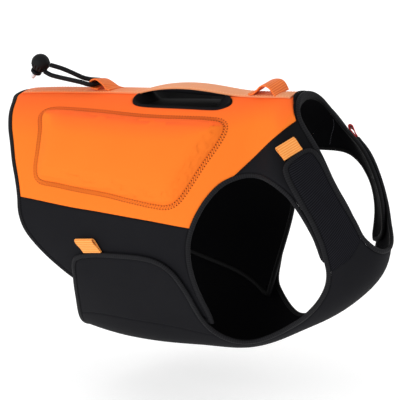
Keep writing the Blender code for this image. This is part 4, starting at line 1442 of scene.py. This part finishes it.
for side_name, side, is_left in (("right", RIGHT, False), ("left", LEFT, True)):
    pull_tab("belly_tab_" + side_name, "tab_belly_" + side_name, *BELLY_TAB, BELLY_TAB_LEAN, TAB_WEBBING,
             is_left)
    # The left neck tab gets the webbing with painted shade.
    pull_tab("neck_tab_" + side_name, "tab_neck_" + side_name, *side["tab"], NECK_TAB_LEAN,
             SHADED_TAB_WEBBING if is_left else TAB_WEBBING, is_left)

# %% [markdown]
# ## Elastic cord and toggle
#
# A 5 mm elastic cord goes through the rear loop and both strands end in a ball toggle. The cord is short
# and springy, and stands out as in the photograph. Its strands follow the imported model's own points.

# %% Cord
CORD = 5.0
CORD_STEP = 2.0
UPPER_STRAND = ((87.2, 0.2, 21.6), (87.0, 6.5, 21.6), (86.0, 10.4, 21.6), (82.0, 12.4, 21.5),
                (75.0, 12.6, 21.0), (67.0, 11.8, 20.9), (59.5, 10.5, 22.2), (48.0, 8.3, 26.2),
                (36.7, 5.8, 29.8), (24.4, 3.0, 32.4))
LOWER_STRAND = ((87.2, -0.2, 21.6), (87.0, -6.5, 21.6), (86.0, -10.4, 21.8), (82.0, -12.2, 22.3),
                (74.0, -11.4, 23.0), (59.0, -9.2, 23.2), (42.0, -6.4, 23.2), (30.0, -4.2, 23.6),
                (20.9, -2.6, 25.6))


def cord_strand(name, node, points):
    """The strand as a bevelled curve, with its line in millimetres and its length in metres."""
    line = smooth_line(points, CORD_STEP)
    curve = bpy.data.curves.new(name, "CURVE")
    curve.dimensions = "3D"
    curve.bevel_depth = CORD / 2 * MM
    curve.bevel_resolution = 5
    curve.use_fill_caps = True
    spline = curve.splines.new("POLY")
    spline.points.add(len(line) - 1)
    for point, place in zip(spline.points, in_frame(line)):
        point.co = (*place, 1.0)
    spline.use_smooth = True
    length = distances(line)[-1] * MM
    print(f"{name}: {length / MM:.0f} mm of cord")
    return finish_piece(name, curve, (CORD_SLEEVE,), "cord", node), line, length


strands = [cord_strand("cord_strand_upper", "cord_upper", UPPER_STRAND),
           cord_strand("cord_strand_lower", "cord_lower", LOWER_STRAND)]

# %% [markdown]
# The toggle's parts are half outlines turned with spin about their own axis. A turned part can have
# ribs, for grip: its far half is drawn in between them, and they fade in over one millimetre.

# %% Turning


def turned(outline, place, way, steps=40, ribs=0, deep=0.0):
    """Turns (radius, height) points about way, from place. Ribs stand out on its far half, if any."""
    shape = bmesh.new()
    verts = [shape.verts.new((radius * MM, 0, height * MM)) for radius, height in outline]
    edges = [shape.edges.new(pair) for pair in zip(verts, verts[1:])]
    bmesh.ops.spin(shape, geom=verts + edges, cent=(0, 0, 0), axis=(0, 0, 1), angle=2 * math.pi,
                   steps=steps, use_merge=True)
    bmesh.ops.remove_doubles(shape, verts=shape.verts, dist=SAME_PLACE * MM)
    for vert in shape.verts if ribs else ():
        crest = math.cos(ribs * math.atan2(vert.co.y, vert.co.x))
        share = min(max(vert.co.z / MM, 0), 1) * deep * (crest - 1) / 2
        vert.co.xy *= 1 + share
    turn = Vector(way).to_track_quat("Z", "Y").to_matrix().to_4x4()
    bmesh.ops.transform(shape, matrix=Matrix.Translation(Vector(in_frame(place))) @ turn,
                        verts=shape.verts)
    return shape


print("parts of the toggle are turned in", turned.__defaults__[0], "steps")

# %% [markdown]
# The toggle is a ball with ribs on its lower half, a push button at its lower rear and a hole with a
# raised rim for each strand. The cord's end tip starts just past the button's face.

# %% Toggle
TOGGLE = 20.0
TOGGLE_PLACE = np.array((13.4, 0.0, 33.8))
BUTTON_TURN = math.radians(29)
button_way = np.array((-math.sin(BUTTON_TURN), 0, -math.cos(BUTTON_TURN)))
GROOVE_AT = 0.55
GROOVE_DEPTH = 0.45
GROOVE_WIDTH = 0.05
RIBS = 16
RIB_DEPTH = 0.12
RIM_RADIUS = 3.1
RIM_THICK = 0.55
RIM_SUNK = 0.5


def ball_outline(radius, groove_at, groove):
    """A half circle from pole to pole, with a fine groove where the two halves meet."""
    turns = np.linspace(-math.pi / 2, math.pi / 2, 49)
    dent = groove * np.exp(-((turns - groove_at) / GROOVE_WIDTH) ** 2)
    points = np.column_stack((np.cos(turns) * (radius - dent), np.sin(turns) * (radius - dent)))
    points[[0, -1], 0] = 0
    return points


def merged(shapes, name):
    """One mesh of several closed shapes."""
    whole = bmesh.new()
    for shape in shapes:
        mesh = closed_mesh(name + "_part", shape)
        whole.from_mesh(mesh)
        bpy.data.meshes.remove(mesh)
    mesh = smooth_mesh(name, whole)
    mesh.set_sharp_from_angle(angle=math.radians(SHARP))
    return mesh


def rim_where(strand):
    """A raised rim round the hole where a strand goes in."""
    end = np.array(strand[-1])
    way = end - TOGGLE_PLACE
    way /= np.linalg.norm(way)
    turns = np.linspace(0, 2 * math.pi, 13)
    ring = np.column_stack((RIM_RADIUS + RIM_THICK * np.cos(turns), RIM_THICK * np.sin(turns)))
    return turned(ring, TOGGLE_PLACE + way * (TOGGLE / 2 - RIM_SUNK), way, 24)


ball = turned(ball_outline(TOGGLE / 2, GROOVE_AT, GROOVE_DEPTH), TOGGLE_PLACE, button_way, RIBS * 8,
              RIBS, RIB_DEPTH)
toggle_mesh = merged([ball, rim_where(UPPER_STRAND), rim_where(LOWER_STRAND)], "toggle_ball")
toggle = finish_piece("toggle_ball", toggle_mesh, (TOGGLE_PLASTIC,), "toggle", "cord_toggle")
print("toggle:", TOGGLE, "mm across, with", RIBS, "ribs")

# %% [markdown]
# The button and the tip are turned from outlines of (radius, height) places, with their edges broken.
# Each strand's end is in the toggle.

# %% Button and the cord's end tip
BUTTON_DIAMETER = 12.0
BUTTON_LENGTH = 3.4
BUTTON_CLEAR = 0.05
TIP_DIAMETER = 5.2
TIP_LENGTH = 6.0
TIP_SIDE = -2.0
TIP_CLEAR = 0.2
radius = BUTTON_DIAMETER / 2
button_outline = [(0, 0), (radius - 0.3, 0), (radius, 0.3), (radius, BUTTON_LENGTH - 0.9),
                  (radius - 0.9, BUTTON_LENGTH), (radius - 2.0, BUTTON_LENGTH), (0, BUTTON_LENGTH - 0.4)]
button = turned(button_outline, TOGGLE_PLACE + button_way * (TOGGLE / 2 + BUTTON_CLEAR), button_way)
finish_piece("toggle_push_button", closed_mesh("toggle_push_button", button), (TOGGLE_PLASTIC,),
             "toggle", "toggle_button")
tip_start = TOGGLE_PLACE + (0, TIP_SIDE, 0) + button_way * (TOGGLE / 2 + BUTTON_LENGTH + TIP_CLEAR)
radius = TIP_DIAMETER / 2
tip_outline = [(0, 0), (radius - 0.4, 0), (radius, 0.5), (radius - 0.1, 3.2),
               (radius - 0.5, TIP_LENGTH - 0.6), (radius - 1.1, TIP_LENGTH), (0, TIP_LENGTH)]
tip = turned(tip_outline, tip_start, button_way, 28)
finish_piece("cord_end_tip", closed_mesh("cord_end_tip", tip), (CLEAR_PLASTIC,), "tip", "cord_tip")
print("button", BUTTON_DIAMETER, "mm and tip", TIP_DIAMETER, "mm across")

# %% Floor
FLOOR_DROP = 0.05
FLOOR_REACH = 12.0
floor_mesh = bpy.data.meshes.new("floor")
ground = bmesh.new()
bmesh.ops.create_grid(ground, x_segments=1, y_segments=1, size=FLOOR_REACH)
bmesh.ops.translate(ground, vec=(0, 0, model_box[0][2] - FLOOR_DROP), verts=ground.verts)
ground.to_mesh(floor_mesh)
ground.free()
floor = bpy.data.objects.new("floor", floor_mesh)
bpy.context.scene.collection.objects.link(floor)
opal_acrylic = new_material("opal_acrylic", Base_Color=linear("#F4F4F4"), Roughness=0.9,
                            Specular_IOR_Level=0.1, Emission_Color=linear("#FFFFFF"),
                            Emission_Strength=0.36)[0]
floor.data.materials.append(opal_acrylic)
print("the table is", FLOOR_DROP / MM, "mm under the vest")

# %% [markdown]
# The studio's white walls are a little brighter than its ceiling. One wide soft box is to the left,
# between the camera and the vest, so the flanks get more light than the back. A small one in front of
# the chest, partly below the table's surface, lights the chest from low down.

# %% Light
HORIZON = 0.95
CEILING = 0.85


def soft_box(name, place, size, power):
    """A square lamp of that size in metres and power in watts, turned to what the camera looks at."""
    light = bpy.data.lights.new(name, "AREA")
    light.shape = "SQUARE"
    light.size = size
    light.energy = power
    lamp = bpy.data.objects.new(name, light)
    bpy.context.scene.collection.objects.link(lamp)
    lamp.location = place
    lamp.rotation_mode = "QUATERNION"
    lamp.rotation_quaternion = (Vector(place) - Vector(in_frame(LOOK_AT))).to_track_quat("Z", "Y")


world = bpy.data.worlds.new("studio")
world.use_nodes = True
sky = world.node_tree.nodes["Background"]
sky.inputs["Color"].default_value = linear("#FFFFFF")
direction = add_node(world.node_tree, "ShaderNodeTexCoord")
height = add_node(world.node_tree, "ShaderNodeSeparateXYZ", Vector=direction.outputs["Generated"])
brightness = add_node(world.node_tree, "ShaderNodeMapRange", Value=height.outputs["Z"],
                      To_Min=HORIZON, To_Max=CEILING)
world.node_tree.links.new(brightness.outputs["Result"], sky.inputs["Strength"])
bpy.context.scene.world = world
soft_box("box_by_camera", (-0.6, -1.6, 0.5), size=1.2, power=11.0)
soft_box("low_box_by_chest", (1.9, -0.9, -0.5), size=0.7, power=4.5)
print("lamps in the scene:", len(bpy.data.lights))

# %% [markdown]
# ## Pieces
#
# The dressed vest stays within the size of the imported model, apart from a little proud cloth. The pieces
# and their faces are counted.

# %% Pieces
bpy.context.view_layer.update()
meshes = [piece.data for piece in pieces.values() if piece.type == "MESH"]
print("pieces:", len(pieces), "with", sum(len(mesh.polygons) for mesh in meshes), "faces")
